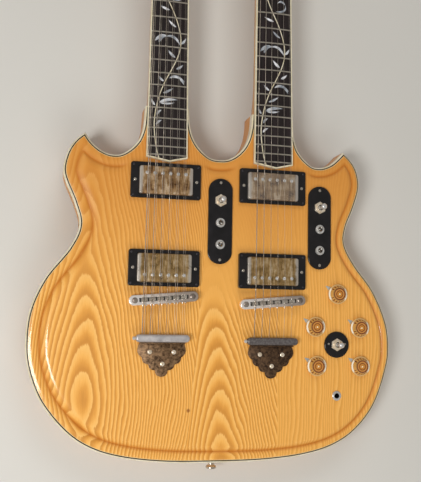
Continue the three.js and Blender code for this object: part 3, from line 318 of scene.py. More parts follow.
def barFinish():
    # plated bars: a painted highlight whitens the end towards the window; duller and more mottled along them
    finish = Finish("plated bar", Metallic=0.6)
    spot, (x, y, z) = finish.millimetres()
    along = x - x.math("SIGN", x) * neckAway
    mottle = finish.noise(spot, (0.3, 0.12, 0.3), 3, 0.65) - 0.5
    # the white end of the ramp is a painted highlight of the window
    dull = finish.softSpan(along + mottle * 70, -34, 34, 0, 1)
    shade = finish.ramp(dull, [
        (0, tint("fff8f0")), (0.3, tint("f6e8dc")), (0.65, tint("dccdc0")), (1, tint("b4a69a")),
    ])
    rough = finish.span(dull, 0, 1, 0.24, 0.42)
    return finish.feed(Base_Color=shade, Roughness=rough, Normal=finish.bump(mottle, 0.06, 0.0004))


finishes["bar"] = barFinish()
finishes["cover"] = coverFinish()
print("finishes made:", len(finishes))


# Modelling helpers

def addShape(kind, name, **settings):
    bpy.ops.object.select_all(action="DESELECT")
    getattr(bpy.ops.mesh, "primitive_" + kind + "_add")(**settings)
    piece = bpy.context.object
    piece.name = piece.data.name = name
    bpy.ops.object.transform_apply()
    return piece


def placed(name, data):
    made = bpy.data.objects.new(name, data)
    bpy.context.scene.collection.objects.link(made)
    return made


def fromParts(name, points, faces):
    mesh = bpy.data.meshes.new(name)
    mesh.from_pydata(points, [], faces)
    return placed(name, mesh)


def grab(piece):
    bpy.ops.object.select_all(action="DESELECT")
    piece.select_set(True)
    bpy.context.view_layer.objects.active = piece


def edit(piece, kind="FACE", action="SELECT"):
    grab(piece)
    bpy.ops.object.mode_set(mode="EDIT")
    bpy.ops.mesh.select_mode(type=kind)
    bpy.ops.mesh.select_all(action=action)


def leave():
    bpy.ops.object.mode_set(mode="OBJECT")


def pick(piece, kind, test):
    # goes into edit mode and selects the faces or edges that pass a test on their middle and direction
    edit(piece, kind, "DESELECT")
    shape = bmesh.from_edit_mesh(piece.data)
    if kind == "FACE":
        for face in shape.faces:
            face.select_set(test(face.calc_center_median(), face.normal))
    else:
        for edge in shape.edges:
            start, end = [vertex.co for vertex in edge.verts]
            edge.select_set(test((start + end) / 2, end - start))
    shape.select_flush_mode()
    bmesh.update_edit_mesh(piece.data)


def raiseFaces(high, size=None, middle=None):
    # extrudes what is selected upwards, then draws it in or out about a middle
    bpy.ops.mesh.extrude_region_move(TRANSFORM_OT_translate={"value": (0, 0, high)})
    if size:
        bpy.ops.transform.resize(value=size, center_override=middle)


def bevelEdges(piece, offset, segments, test):
    pick(piece, "EDGE", test)
    bpy.ops.mesh.bevel(offset=offset, segments=segments, affect="EDGES")
    leave()


def recalc(piece):
    edit(piece)
    bpy.ops.mesh.remove_doubles(threshold=0.0001)
    bpy.ops.mesh.normals_make_consistent(inside=False)
    leave()


def apply(piece, kind, **settings):
    modifier = piece.modifiers.new("change", kind)
    for word, value in settings.items():
        setattr(modifier, word, value)
    grab(piece)
    bpy.ops.object.modifier_apply(modifier="change")


def cut(piece, cutter):
    apply(piece, "BOOLEAN", operation="DIFFERENCE", solver="EXACT", object=cutter)
    bpy.data.objects.remove(cutter)


def join(pieces, name):
    grab(pieces[0])
    for piece in pieces:
        piece.select_set(True)
    if len(pieces) > 1:
        bpy.ops.object.join()
    pieces[0].name = pieces[0].data.name = name
    return pieces[0]


def twin(piece, name, place=Matrix()):
    copy = piece.copy()
    copy.data = piece.data.copy()
    copy.name = copy.data.name = name
    bpy.context.scene.collection.objects.link(copy)
    copy.data.transform(place)
    return copy


def settle(piece, finish, body="guitar", place=Matrix(), instead=(), smooth=35):
    # the finished piece: its place goes into its mesh, in metres, and it rides on its body
    piece.data.transform(toMetres @ place)
    piece.data.materials.clear()
    piece.data.materials.append(finishes[finish])
    grab(piece)
    if smooth:
        bpy.ops.object.shade_smooth_by_angle(angle=math.radians(smooth))
    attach(piece, body)
    if instead:
        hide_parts(*instead)


# Shapes that the hardware is drawn from

def turned(name, profile, segments):
    # a disc drawn up and in or out, step by step, from (radius, height) pairs
    radius, height = profile[0]
    start = {"radius": radius, "location": (0, 0, height)}
    piece = addShape("circle", name, vertices=segments, fill_type="NGON", **start)
    edit(piece)
    for nextRadius, nextHeight in profile[1:]:
        share = nextRadius / radius
        raiseFaces(nextHeight - height, (share, share, 1), (0, 0, nextHeight))
        radius, height = nextRadius, nextHeight
    leave()
    recalc(piece)
    return piece


def block(name, width, length, low, high, corner=0, top=0, steps=5, topSteps=3):
    # a block with its upright edges rounded, and then its top edge
    piece = addShape("cube", name, size=1, location=(0, 0, (low + high) / 2),
                     scale=(width, length, high - low))
    if corner:
        bevelEdges(piece, corner, steps, lambda middle, along: abs(along.z) > hair)
    if top:
        bevelEdges(piece, top, topSteps, lambda middle, along: middle.z > high - hair)
    recalc(piece)
    return piece


def moved(piece, place):
    piece.data.transform(place)
    return piece


def drilled(piece, radius, low, high, place=Matrix(), sides=28):
    cut(piece, moved(turned("drill", [(radius, low), (radius, high)], sides), place))
    return piece


def slotted(piece, width, depth, high):
    # saws a screwdriver's slot into a head
    sawLength = 20
    cut(piece, addShape("cube", "saw", size=1, location=(0, 0, high), scale=(sawLength, width, 2 * depth)))
    return piece


def loft(name, rings):
    # a skin over rings of points, closed at both ends
    count = len(rings[0])
    last = (len(rings) - 1) * count
    around = [(i, (i + 1) % count) for i in range(count)]
    faces = [(a + i, a + count + i, a + count + j, a + j) for a in range(0, last, count) for i, j in around]
    ends = [tuple(range(count)), tuple(range(last + count - 1, last - 1, -1))]
    return fromParts(name, [point for ring in rings for point in ring], faces + ends)


screwSizes = {  # radius, height and the slot's width as a share of the radius
    "button": (3.1, 1.1, 0.22), "cover": (3, 0.9, 0.2), "pole": (2.3, 0.85, 0.25), "ring": (1.5, 0.5, 0.3),
    "height": (2, 1, 0.3), "plate": (1.9, 0.7, 0.25), "tail": (3, 1.9, 0.16), "tuner": (1.5, 0.8, 0.3),
}


def screw(kind):
    radius, height, slot = screwSizes[kind]
    dome = [(1, 0), (1, 0.35), (0.9, 0.7), (0.62, 0.93), (0.2, 1)]
    head = turned(kind + "_screw", [(a * radius, b * height) for a, b in dome], 20)
    slotted(head, radius * slot, height * 0.55, height)
    return moved(head, turn(30, "Z"))


def spread(piece, name, spots):
    # copies of one shape at each spot, joined
    copies = [twin(piece, name, spot) for spot in spots]
    bpy.data.objects.remove(piece)
    return join(copies, name)


def setScrews(kind, name, spots, place, finish="nickel"):
    settle(spread(screw(kind), name, spots), finish, place=place)


# Camera, floor and light

view = {
    "place": (-0.20976, -0.01392, 0.93837), "lens": 52.46,
    "right": (0.975554, 0.018658, 0.218967), "up": (-0.039916, 0.994860, 0.093065),
    "back": (-0.216106, -0.099530, 0.971284),
}


def aimCamera():
    data = bpy.data.cameras.new("camera")
    data.lens = view["lens"]
    data.clip_start, data.clip_end = 0.01, 30
    camera = placed("camera", data)
    columns = Matrix((view["right"], view["up"], view["back"])).transposed().to_4x4()
    camera.matrix_world = shift(*view["place"]) @ columns
    bpy.context.scene.camera = camera


aimCamera()

room = {
    "floor": tint("d9d6cf"), "patches": tint("d3d0c8"), "size": 8, "below": -0.0006,
    "tail": -0.1995, "headsFrom": 0.6,  # along the guitar: where it touches the floor, where its heads start
    "lights": {
        "window": {"at": (-0.8, -0.29, 1.3), "size": (0.45, 0.45), "power": 12.2, "to": (0, 0, 0.04)},
        "foot": {"at": (0.3, -2.0, 1.7), "size": (1.8, 1.2), "power": 21, "to": (0, 0, 0)},
        "head": {"at": (0.4, 2.2, 1.8), "size": (1.8, 1.2), "power": 19, "to": (0, 0.1, 0)},
    },
    "sky": (0.62, 0.6, 0.57, 1), "skyPower": 0.36,
}


def layFloor():
    # the guitar lies on its tail and the backs of its heads
    slope = 0
    for node in nodes.values():
        for spot in (vertex.co for vertex in node.data.vertices):
            if spot.y > room["headsFrom"]:
                slope = min(slope, spot.z / (spot.y - room["tail"]))
    floor = addShape("plane", "floor", size=room["size"])
    lean = Matrix.Rotation(math.atan(slope), 4, "X")
    floor.data.transform(shift(0, room["tail"], room["below"]) @ lean)
    finish = Finish("pale floor", Roughness=0.7)
    patches = finish.noise(finish.spot(), (3, 3, 3), 3)
    colour = finish.blend(patches, room["floor"], room["patches"])
    floor.data.materials.append(finish.feed(Base_Color=colour))


def hangLights():
    for name, light in room["lights"].items():
        data = bpy.data.lights.new(name, "AREA")
        data.shape, (data.size, data.size_y) = "RECTANGLE", light["size"]
        data.energy = light["power"]
        lamp = placed(name, data)
        lamp.visible_glossy = name == "window"  # the lacquer mirrors the window alone
        towards = Vector(light["to"]) - Vector(light["at"])
        lamp.matrix_world = shift(*light["at"]) @ towards.to_track_quat("-Z", "Y").to_matrix().to_4x4()
    world = bpy.data.worlds.new("room")
    world.use_nodes = True
    sky = world.node_tree.nodes["Background"]
    sky.inputs["Color"].default_value = room["sky"]
    sky.inputs["Strength"].default_value = room["skyPower"]
    bpy.context.scene.world = world
    bpy.context.scene.view_settings.view_transform = "Standard"


layFloor()
hangLights()
print("camera, floor and lights set")


# Body: carved top, binding strips and the part below them

bodyShape = {
    "halfWidth": 242.3, "tail": 206.5, "horns": 211, "end": 252, "neckSide": 28.75,
    "cutaway": 185.2, "between": 187, "spacing": 2.8, "fineSpacing": 0.4, "backRound": 7, "ledge": 34,
    "rim": [
        (-0.732, 1.003), (-0.778, 0.957), (-0.818, 0.883), (-0.8385, 0.782), (-0.826, 0.703),
        (-0.774, 0.567), (-0.745, 0.435), (-0.792, 0.297), (-0.908, 0.117), (-0.976, -0.068),
        (-0.994, -0.252), (-0.976, -0.426), (-0.908, -0.62), (-0.784, -0.795), (-0.656, -0.898),
        (-0.495, -0.958), (-0.272, -0.992), (0, -1), (0.272, -0.996), (0.508, -0.967),
        (0.681, -0.908), (0.813, -0.806), (0.92, -0.646), (0.99, -0.421), (1.006, -0.275),
        (0.9855, -0.1065), (0.908, 0.091), (0.799, 0.253), (0.739, 0.383), (0.747, 0.493),
        (0.792, 0.622), (0.825, 0.751), (0.817, 0.852), (0.784, 0.928), (0.728, 0.991),
    ],
    "outer": [
        (0.902, 0.236), (0.775, 0.105), (0.657, 0.034), (0.538, 0), (0.386, 0.018), (0.24, 0.117),
        (0.119, 0.274), (0.057, 0.431), (0.02, 0.626), (0, 1),
    ],
    "middle": [
        (0, 0), (0.25, 0.02), (0.48, 0.095), (0.69, 0.23), (0.84, 0.39), (0.93, 0.57), (0.98, 0.77), (1, 1),
    ],
    "binding": [2.0, 3.5, 4.1],  # how far in the cream, the dark and the pale line reach
    "inside": 99,  # the level of points that lie within all the lines
    "levels": [0, 0.5, 1.2, 2.0, 2.75, 3.5, 4.1, 5.2, 6.5, 8, 9.5, 11, 12.5, 14, 15.2, 16.5,
               17.8, 19, 20.5, 22, 23.5, 25, 26.5, 28.5],
    "grid": 14, "rows": (-16, 18), "columns": (-18, 19), "backLevels": [0, 0.5, 1.4, 2.6, 4.2, 7],
}

carve = {
    "leftShare": 1.05, "rightShare": 0.62,  # how wide it is, past the binding, at either side of the body
    "edge": (3, 1.6), "crest": (8, 2.1), "groove": (16.5, 5),  # how far in each ends, and its depth
    # mark: how far to either side of the groove its tint and painted shade reach
    "fall": 2.1, "slope": 10.5, "bends": (1.4, 1.7, 1.8), "mark": 3.4,
    "besideNeck": (46, 62), "nearNeck": (128, 159.2), "upper": (20, 130), "upperShare": 0.35,
}


def spline(points, steps=12):
    line = []
    for i in range(len(points) - 1):
        a, b = points[max(0, i - 1)], points[i]
        c, d = points[i + 1], points[min(len(points) - 1, i + 2)]
        for step in range(steps):
            t = step / steps
            v, w = (c - a) / 2, (d - b) / 2
            line.append(b + v * t + (3 * (c - b) - 2 * v - w) * t ** 2 + (2 * (b - c) + v + w) * t ** 3)
    return line + [points[-1]]


def evenly(line, spacing):
    # the same line with points an even distance apart, its two ends kept
    lengths = [0]
    for a, b in zip(line, line[1:]):
        lengths.append(lengths[-1] + (b - a).length)
    count = max(1, round(lengths[-1] / spacing))
    out, i = [], 0
    for step in range(count):
        goal = lengths[-1] * step / count
        while lengths[i + 1] < goal:
            i += 1
        out.append(line[i].lerp(line[i + 1], (goal - lengths[i]) / (lengths[i + 1] - lengths[i])))
    return out + [line[-1]]


def bodyOutline(spacing):
    shape = bodyShape
    side, inner = neckAway + shape["neckSide"], neckAway - shape["neckSide"]
    rim = [Vector((a * shape["halfWidth"], b * shape["tail" if b < 0 else "horns"])) for a, b in shape["rim"]]

    def outer(tip, hand):
        return [tip] + [Vector((hand * mix(side, abs(tip.x), a), mix(shape["cutaway"], shape["end"], b)))
                        for a, b in shape["outer"]]
    middle = [Vector((a * inner, mix(shape["between"], shape["end"], b))) for a, b in shape["middle"]]
    between = middle[::-1] + [Vector((-point.x, point.y)) for point in middle[1:]]
    runs = [rim, outer(rim[-1], 1), [Vector((side, shape["end"])), middle[-1]], between,
            [Vector((-inner, shape["end"])), Vector((-side, shape["end"]))], outer(rim[0], -1)[::-1]]
    line = []
    for run in runs:
        line += evenly(spline(run), spacing)[:-1]
    return line


def nearTree(line):
    tree = KDTree(len(line))
    for i, point in enumerate(line):
        tree.insert((point.x, point.y, 0), i)
    tree.balance()
    return tree


def carveShare(x):
    return mix(carve["leftShare"], carve["rightShare"], x / (2 * bodyShape["halfWidth"]) + 0.5)


def carveReach(inset, x):
    band = bodyShape["binding"][-1]
    return min(inset, band) + max(0, inset - band) * carveShare(x)


def insetLine(line, tree, inset, reachAt):
    # the line moved inwards, without the points that end up too near another stretch of it
    if inset == 0:
        return list(line)
    moved = []
    for i, point in enumerate(line):
        before = (point - line[i - 1]).normalized()
        after = (line[(i + 1) % len(line)] - point).normalized()
        mitre = Vector((-before.y - after.y, before.x + after.x))
        distance = reachAt(inset, point.x)
        place = point + mitre * (distance / (1 + before.dot(after)))
        if tree.find((place.x, place.y, 0))[2] > distance * 0.997:
            moved.append(place)
    return moved


def carved(x, y):
    # the carve fades out where it runs into a neck
    return mix(1, ease(*carve["besideNeck"], abs(abs(x) - neckAway)), ease(*carve["nearNeck"], y))


def topDrop(x, y, inset):
    # how far the top lies below its flat middle: rim, groove with a crease, slope
    (edge, edgeDeep), (crest, crestDeep) = carve["edge"], carve["crest"]
    groove, grooveDeep = carve["groove"]
    fall, crease, slope = carve["bends"]
    share = min(1, carveShare(x)) * mix(1, carve["upperShare"], ease(*carve["upper"], y))
    deep = mix(crestDeep, grooveDeep, share)
    rim = edgeDeep * (1 - inset / edge) ** 2 if inset < edge else 0
    if inset < crest:
        drop = crestDeep + carve["fall"] * (1 - inset / crest) ** fall
    elif inset < groove:
        drop = mix(crestDeep, deep, ((inset - crest) / (groove - crest)) ** crease)
    else:
        drop = deep * max(0, 1 - (inset - groove) / carve["slope"]) ** slope
    return rim + carved(x, y) * drop


def meshBetween(levels, rings, inner):
    # triangles over the plane between the outline's inset lines; each point knows its level
    points, level, edges = [], [], []
    for inset, ring in rings:
        start = len(points)
        points += ring
        level += [inset] * len(ring)
        if inset in levels:
            edges += [(start + i, start + (i + 1) % len(ring)) for i in range(len(ring))]
    points += inner
    level += [bodyShape["inside"]] * len(inner)
    out = delaunay_2d_cdt(points, edges, [], 0, 1e-5)
    origin = [sources[0] if sources else -1 for sources in out[3]]
    flat = [Vector(point) for point in out[0]]
    level = [level[i] if i >= 0 else bodyShape["inside"] for i in origin]
    triangles = []
    for a, b, c in out[2]:
        low, high = min(level[a], level[b], level[c]), max(level[a], level[b], level[c])
        if low == high:  # all on one line: inside it if they run round it the left way
            a2, b2, c2 = sorted((a, b, c), key=lambda i: origin[i])
            left = (flat[b2] - flat[a2]).cross(flat[c2] - flat[a2]) > 0
            high = low + (hair if left else -hair)
        if (flat[b] - flat[a]).cross(flat[c] - flat[a]) < 0:
            b, c = c, b
        triangles.append(((a, b, c), (low + high) / 2))
    return flat, level, triangles


def openEdges(triangles):
    edges = dict.fromkeys(edge for a, b, c in triangles for edge in ((a, b), (b, c), (c, a)))
    return [(a, b) for a, b in edges if (b, a) not in edges]


def closed(name, triangles, top, under):
    # a closed piece over the triangles, between the points that two functions give for each corner
    used = sorted({i for corners in triangles for i in corners})
    number = {old: new for new, old in enumerate(used)}
    faces = [tuple(number[i] for i in corners) for corners in triangles]
    count = len(used)
    walls = [(b, a, a + count, b + count) for a, b in openEdges(faces)]
    below = [(c + count, b + count, a + count) for a, b, c in faces]
    return fromParts(name, [top(i) for i in used] + [under(i) for i in used], faces + walls + below), used


def topPart(name, low, high, flat, level, triangles):
    # the part of the top between two insets, down to the flat ledge
    chosen = [corners for corners, middle in triangles if low < middle < high]
    piece, used = closed(name, chosen, lambda i: (*flat[i], bodyTop - topDrop(*flat[i], level[i])),
                         lambda i: (*flat[i], bodyShape["ledge"]))
    # how near each point lies to the groove's crease, for its deeper tint and painted shade
    groove = piece.data.attributes.new("groove", "FLOAT", "POINT")
    for new, old in enumerate(used):
        x, y = flat[old]
        near = max(0, 1 - abs(level[old] - carve["groove"][0]) * carveShare(x) / carve["mark"])
        groove.data[new].value = near * carved(x, y)
    return piece


def buildBody():
    shape = bodyShape
    outline = bodyOutline(shape["spacing"])
    tree = nearTree(bodyOutline(shape["fineSpacing"]))
    rings = [(inset, insetLine(outline, tree, inset, carveReach)) for inset in shape["levels"]]
    inner = []
    for row in range(*shape["rows"]):
        for column in range(*shape["columns"]):
            x, y = column * shape["grid"], row * shape["grid"]
            reach = carveReach(shape["levels"][-1], x) + shape["grid"] / 3
            if tree.find((x, y, 0))[2] > reach and insideOutline(outline, x, y):
                inner.append(Vector((x, y)))
    flat, level, triangles = meshBetween([0] + shape["binding"], rings, inner)
    triangles = [item for item in triangles if item[1] > 0]
    cream, dark, pale = shape["binding"]
    parts = [("binding_cream", 0, cream), ("binding_dark_line", cream, dark),
             ("binding_pale_line", dark, pale), ("body_top", pale, math.inf)]
    return [topPart(*part, flat, level, triangles) for part in parts] + [buildBack(outline, tree)]


def insideOutline(outline, x, y):
    inside = False
    for i, a in enumerate(outline):
        b = outline[i - 1]
        if (a.y > y) != (b.y > y) and x < (b.x - a.x) * (y - a.y) / (b.y - a.y) + a.x:
            inside = not inside
    return inside


def buildBack(outline, tree):
    # the lower part of the body, up to the ledge that the binding sits on, its back edge rounded
    shape = bodyShape
    radius = shape["backRound"]
    rings = [(inset, insetLine(outline, tree, inset, lambda inset, x: inset))
             for inset in shape["backLevels"]]
    flat, level, triangles = meshBetween([0], rings, [])

    def under(i):
        inset = min(level[i], radius)
        return (*flat[i], radius - math.sqrt(max(0, radius ** 2 - (radius - inset) ** 2)))
    chosen = [corners for corners, middle in triangles if middle > 0]
    return closed("body_back", chosen, lambda i: (*flat[i], shape["ledge"]), under)[0]


def cutBody(top, back):
    # seats of the jack and of the rear cover
    for piece in (top, back):
        drilled(piece, *fittings["jackBore"], shift(*fittings["jack"]), 32)
    cover = fittings["cover"]
    width, length, corner = cover["size"]
    seat = block("seat", width + 2 * fitGap, length + 2 * fitGap, -3, cover["deep"], corner, 0, 10)
    cut(back, moved(seat, shift(*cover["at"])))


def strapButton(name, reach):
    # from its flange down to the wood, with a slotted screw in the middle
    button = turned(name, [(6.3, 0), (6.9, 0.35), (7, 1), (7, 2.2), (6.6, 2.9), (4.9, 3.9), (4.2, 5.2),
                           (4.2, reach - 3), (4.8, reach - 1.2), (5, reach)], 40)
    return join([button, moved(screw("button"), turn(180, "X"))], name)


fittings = {
    "jack": (164.8, -122.9), "jackBore": (4.6, 24, 50),  # radius, from and to
    "cover": {"at": (160, -50), "size": (84, 170, 30), "deep": 2.6},  # width, length, corners
    "coverScrews": {"in": 6.5, "fromEnd": 28, "high": 0.35},
    "tailButton": (0, -216.9, 23), "heelButton": (-neckAway, 259.3),
}


def addFittings():
    settle(strapButton("tail_strap_button", 11), "nickel",
           place=shift(*fittings["tailButton"]) @ turn(-90, "X"))
    x, y = fittings["heelButton"]
    heel = [v.co * 1000 for v in nodes["neck_12"].data.vertices]
    low = min(spot.z for spot in heel if math.hypot(spot.x - x, spot.y - y) < 8)
    settle(strapButton("heel_strap_button", 9), "nickel", place=shift(x, y, low - fitGap))
    cover, screws = fittings["cover"], fittings["coverScrews"]
    left, low = [size / 2 - screws["in"] for size in cover["size"][:2]]
    spots = [(a * left, b * (low - screws["fromEnd"])) for a in (-1, 1) for b in (-1, 1)]
    spots += [(0, low), (0, -low)]
    spots = [shift(x, y) @ turn(180, "X") @ turn(37 * i, "Z") for i, (x, y) in enumerate(spots)]
    setScrews("cover", "cover_screws", spots, shift(*cover["at"], screws["high"]))


*strips, top, back = buildBody()
cutBody(top, back)
settle(top, "ash", instead=["body"], smooth=40)
for piece, finish in zip([back] + strips, ("ashSide", "cream", "darkLine", "paleLine")):
    settle(piece, finish, smooth=40)
addFittings()
print("body made:", len(top.data.polygons), len(back.data.polygons))

# Fingerboards, frets and vine

board = {
    "end": 183.6, "point": 5.6, "tip": 0.125, "length": 627.7, "scale": 628,
    "endHalf": 27, "nutHalf": 23, "camber": 305,
    "thick": 6, "binding": 1.6, "frets": 21, "fretWidth": 1.9, "fretHeight": 1.1,
    "crown": [(-1, -0.5), (-1, 0.1), (-0.8, 0.6), (-0.4, 0.93), (0, 1), (0.4, 0.93), (0.8, 0.6), (1, 0.1),
              (1, -0.5)],
    # middle line of the vine, and its leaves as base, bend and tip with the widest width
    "stem": [(-10.5, 181), (-15, 198), (-18, 228), (-14.5, 256), (-7, 280), (3, 301), (11, 319), (15, 337),
             (13.2, 356), (6, 378), (-5, 402), (-13, 425), (-15, 448), (-10, 472), (0, 495), (9, 517),
             (12, 538), (8, 560), (-1, 581), (-8, 599), (-10, 613)],
    "stemWidth": 1.2, "leafEnd": 0.12,
    "leaves": [
        (-15.5, 226, -13, 231, -8, 232.5, 3.0), (-15, 239, -13, 244, -9, 246, 3.2),
        (-17.5, 252, -21, 255, -22.5, 261, 3.0), (-12, 256, -2, 262, 12, 261, 4.2),
        (-11, 255.5, 0, 254, 8, 257, 2.6), (-7.5, 269, -1, 271, 6, 276.5, 3.2),
        (0.5, 289.5, 10, 297, 21.5, 286, 3.6), (14, 290, 18, 289, 20, 282.5, 3.0),
        (-6.5, 285, -11, 287, -14.5, 292.5, 3.0), (9.5, 303, 14, 304, 18.5, 309.5, 3.4),
        (8, 318.5, 2, 322, -1.5, 328, 3.6), (15.5, 338, 19, 340, 22, 346.5, 3.2),
        (14, 336, 6, 353, -8, 345, 3.4), (-4, 347.5, -14, 347, -20, 339, 5.4),
        (-9, 344, -15, 340, -14, 337, 2.6),
        (8.5, 360.5, 2, 364, -1.8, 369.5, 3.0), (-1, 383.5, -8, 385, -14, 389, 3.2),
        (2, 398, 19, 398, 15.5, 409, 2.6), (15.5, 409, 10, 417, 4, 410, 2.8),
        (-12, 424, -4, 426, 1, 432, 3.2), (-15, 441, -19, 445, -21.5, 452, 3.0),
        (-11, 470, -2, 470, 5, 477, 3.4), (-3, 488, -10, 494, -17, 488, 3.0),
        (-14, 491, -19, 489, -18, 483, 2.4),
        (5, 507, 12, 507, 17, 513, 3.0), (11, 528, 3, 534, -6, 531, 3.6), (10, 551, 15, 555, 18, 562, 3.0),
        (3, 572, -4, 571, -10, 576, 3.0), (-5, 591, 2, 594, 6, 600, 3.0), (-10, 612, -8, 617, -3, 619, 2.6),
    ],
}


def boardHalf(y):
    return mix(board["endHalf"], board["nutHalf"], (y - board["end"]) / (board["scale"] - board["end"]))


def camber(x):
    return x * x / (2 * board["camber"])


def boardBlank(name, margin, lift, low):
    # a grid drawn out to the board's outline, its pointed end and its camber
    columns, rows = 16, 8
    blank = addShape("grid", name, x_subdivisions=columns, y_subdivisions=rows, size=2)
    edit(blank)
    raiseFaces(1)
    leave()
    for vertex in blank.data.vertices:
        share, along, high = vertex.co.x, (vertex.co.y + 1) / 2, vertex.co.z > 0.5
        away = abs(share - board["tip"]) / (1 - board["tip"] if share > board["tip"] else 1 + board["tip"])
        start = board["end"] - board["point"] * (1 - away) + margin
        y = mix(start, board["length"], along)
        x = share * (boardHalf(y) - margin)
        vertex.co = (x, y, lift - camber(x) if high else low)
    recalc(blank)
    return blank


def buildBoard(side):
    core = boardBlank("board_" + side, board["binding"], 0, -board["thick"] + 0.2)
    shell = boardBlank("board_binding_" + side, 0, 0.02, -board["thick"])
    cutter = boardBlank("cutter", board["binding"] - 0.01, 1, -board["thick"] + 0.1)
    cut(shell, cutter)
    settle(core, "ebony", place=neckPlace(side), instead=["fingerboard_" + side])
    settle(shell, "cream", place=neckPlace(side))


def fretBar(y):
    # a crowned wire over the board's camber, lower at its two ends
    half, last = boardHalf(y) - board["binding"], 8
    rings = []
    for i in range(last + 1):
        x = mix(-half, half, i / last)
        height = board["fretHeight"] * (0.75 if i in (0, last) else 1)
        rings.append([(x, y + a * board["fretWidth"] / 2, b * height - camber(x)) for a, b in board["crown"]])
    return loft("fret", rings)


def buildFrets(side):
    bars = [fretBar(board["scale"] * 2 ** (-n / 12)) for n in range(1, board["frets"] + 1)]
    frets = join(bars, "frets_" + side)
    recalc(frets)
    settle(frets, "fret", place=neckPlace(side), smooth=50)


def strap(name, line, widths, high, low):
    # a thin flat strip that follows a line over the board's camber
    rings = []
    for i, point in enumerate(line):
        along = (line[min(i + 1, len(line) - 1)] - line[max(i - 1, 0)]).normalized()
        out = Vector((-along.y, along.x)) * widths[i] / 2
        corners = ((point + out, high), (point + out, low), (point - out, low), (point - out, high))
        rings.append([(spot.x, spot.y, height - camber(spot.x)) for spot, height in corners])
    return loft(name, rings)


def buildVine(side):
    line = evenly(spline([Vector(point) for point in board["stem"]]), 3)
    stem = strap("vine_stem_" + side, line, [board["stemWidth"]] * len(line), 0.07, -0.3)
    settle(stem, "cream", place=neckPlace(side), smooth=0)
    leaves = []
    shares = [i / 10 for i in range(11)]
    for *spots, width in board["leaves"]:
        base, bend, tip = [Vector(spots[i:i + 2]) for i in (0, 2, 4)]
        path = [base * (1 - t) ** 2 + bend * 2 * t * (1 - t) + tip * t * t for t in shares]
        widths = [max(board["leafEnd"], width * abs(math.sin(math.pi * t ** 0.8)) ** 0.9) for t in shares]
        leaves.append(strap("leaf", path, widths, 0.08, -0.3))
    settle(join(leaves, "vine_leaves_" + side), "pearl", place=neckPlace(side), smooth=0)


for side in sideways:
    buildBoard(side)
    buildFrets(side)
    buildVine(side)
print("fingerboards made")


# Pickups

pickups = {
    "cover": (70, 36.4), "corner": 2.8, "round": 1.5, "deep": -6,
    # name, line, tops of ring and cover, side that the pole screws are on
    "rows": [("neck", 153.1, 4.0, 7.0, 1), ("bridge", 39.8, 6.5, 9.8, -1)],
    "poleStep": 10.1, "poleRow": 9,
    "ring": (92, 46.6), "ringCorner": (42.4, 19.8), "heightScrew": 40.3,
}


def buildPickup(side, name, line, ringTop, coverTop, hand):
    p = pickups
    end = "_" + name + "_" + side
    place = shift(sideways[side], line, bodyTop)
    width, length = p["cover"]
    cover = block("pickup_cover" + end, width, length, p["deep"], coverTop, p["corner"], p["round"], 6, 4)
    settle(cover, "cover", place=place, instead=["pickup" + end], smooth=50)
    spots = [shift((i - 2.5) * p["poleStep"], hand * p["poleRow"], coverTop - 0.1) @ turn(17 * i, "Z")
             for i in range(6)]
    setScrews("pole", "poles" + end, spots, place, "bright")
    ring = block("pickup_ring_piece" + end, *p["ring"], fitGap, ringTop, 3, 0.5)
    cut(ring, block("window", width + 1, length + 1, -3, ringTop + 3, p["corner"]))
    settle(ring, "black", place=place, instead=["pickup_ring" + end])
    x, y = p["ringCorner"]
    spots = [shift(a * x, b * y, ringTop - 0.25) @ turn(40 * a + 25 * b, "Z")
             for a in (-1, 1) for b in (-1, 1)]
    setScrews("ring", "ring_screws" + end, spots, place, "dim")
    spots = [shift(a * p["heightScrew"], 0, ringTop - 0.2) for a in (-1, 1)]
    setScrews("height", "height_screws" + end, spots, place)


for side in sideways:
    for row in pickups["rows"]:
        buildPickup(side, *row)
print("pickups made")


# Switches

switches = {
    "plates": {"12": (1, 104), "6": (139.3, 101.2)}, "size": (32.5, 113), "thick": 2.8, "endScrew": 51,
    "toggle": 27.2, "minis": (-2.2, -30.9),
    "selector": (164.2, -55.4), "disc": 17.4, "pips": [(-11.6, 1), (11.6, 1)],
    "pip": [(1.5, 0), (1.4, 0.25), (0.9, 0.42)],
    # nut and its height, collar and its height, bore
    "toggleNut": (8.4, 2.2, 5.4, 2.0, 3.8), "miniNut": (6.2, 1.8, 3.9, 1.4, 3.2),
    "toggleBall": 3.6, "miniBall": 2.5,
    "tilts": {"12": (12, -12), "6": (-12, -12)},
    "lever": [(0.8, -3), (2.19, -2.19), (2.9, -1.1), (3.1, 0), (2.9, 1.1), (2.19, 2.19), (1.6, 2.66),
              (1.5, 9.6), (2.4, 10.9), (3.5, 12.4), (4.1, 14.3), (3.8, 16.2), (2.8, 17.3), (1.4, 17.9),
              (0.3, 18)],
    "miniLever": [(0.5, -1.95), (1.41, -1.41), (1.9, -0.6), (2, 0), (1.9, 0.6), (1.41, 1.41), (0.9, 1.79),
                  (0.85, 5.6), (1.25, 6.5), (1.55, 7.6), (1.35, 8.7), (0.7, 9.3), (0.1, 9.4)],
}


def nutAndCollar(name, nut, nutHigh, collar, collarHigh, bore, sides):
    base = switches["thick"] - 0.3
    hexagon = turned(name, [(nut * 0.96, base), (nut, base + 0.5), (nut, base + nutHigh - 0.3),
                            (nut * 0.93, base + nutHigh + 0.3)], sides)
    top = base + 0.3 + nutHigh + collarHigh
    sleeve = turned("sleeve", [(collar, base), (collar, top - 0.4), (collar - 0.4, top)], 28)
    return join([drilled(part, bore, base - 2, top + 2) for part in (hexagon, sleeve)], name)


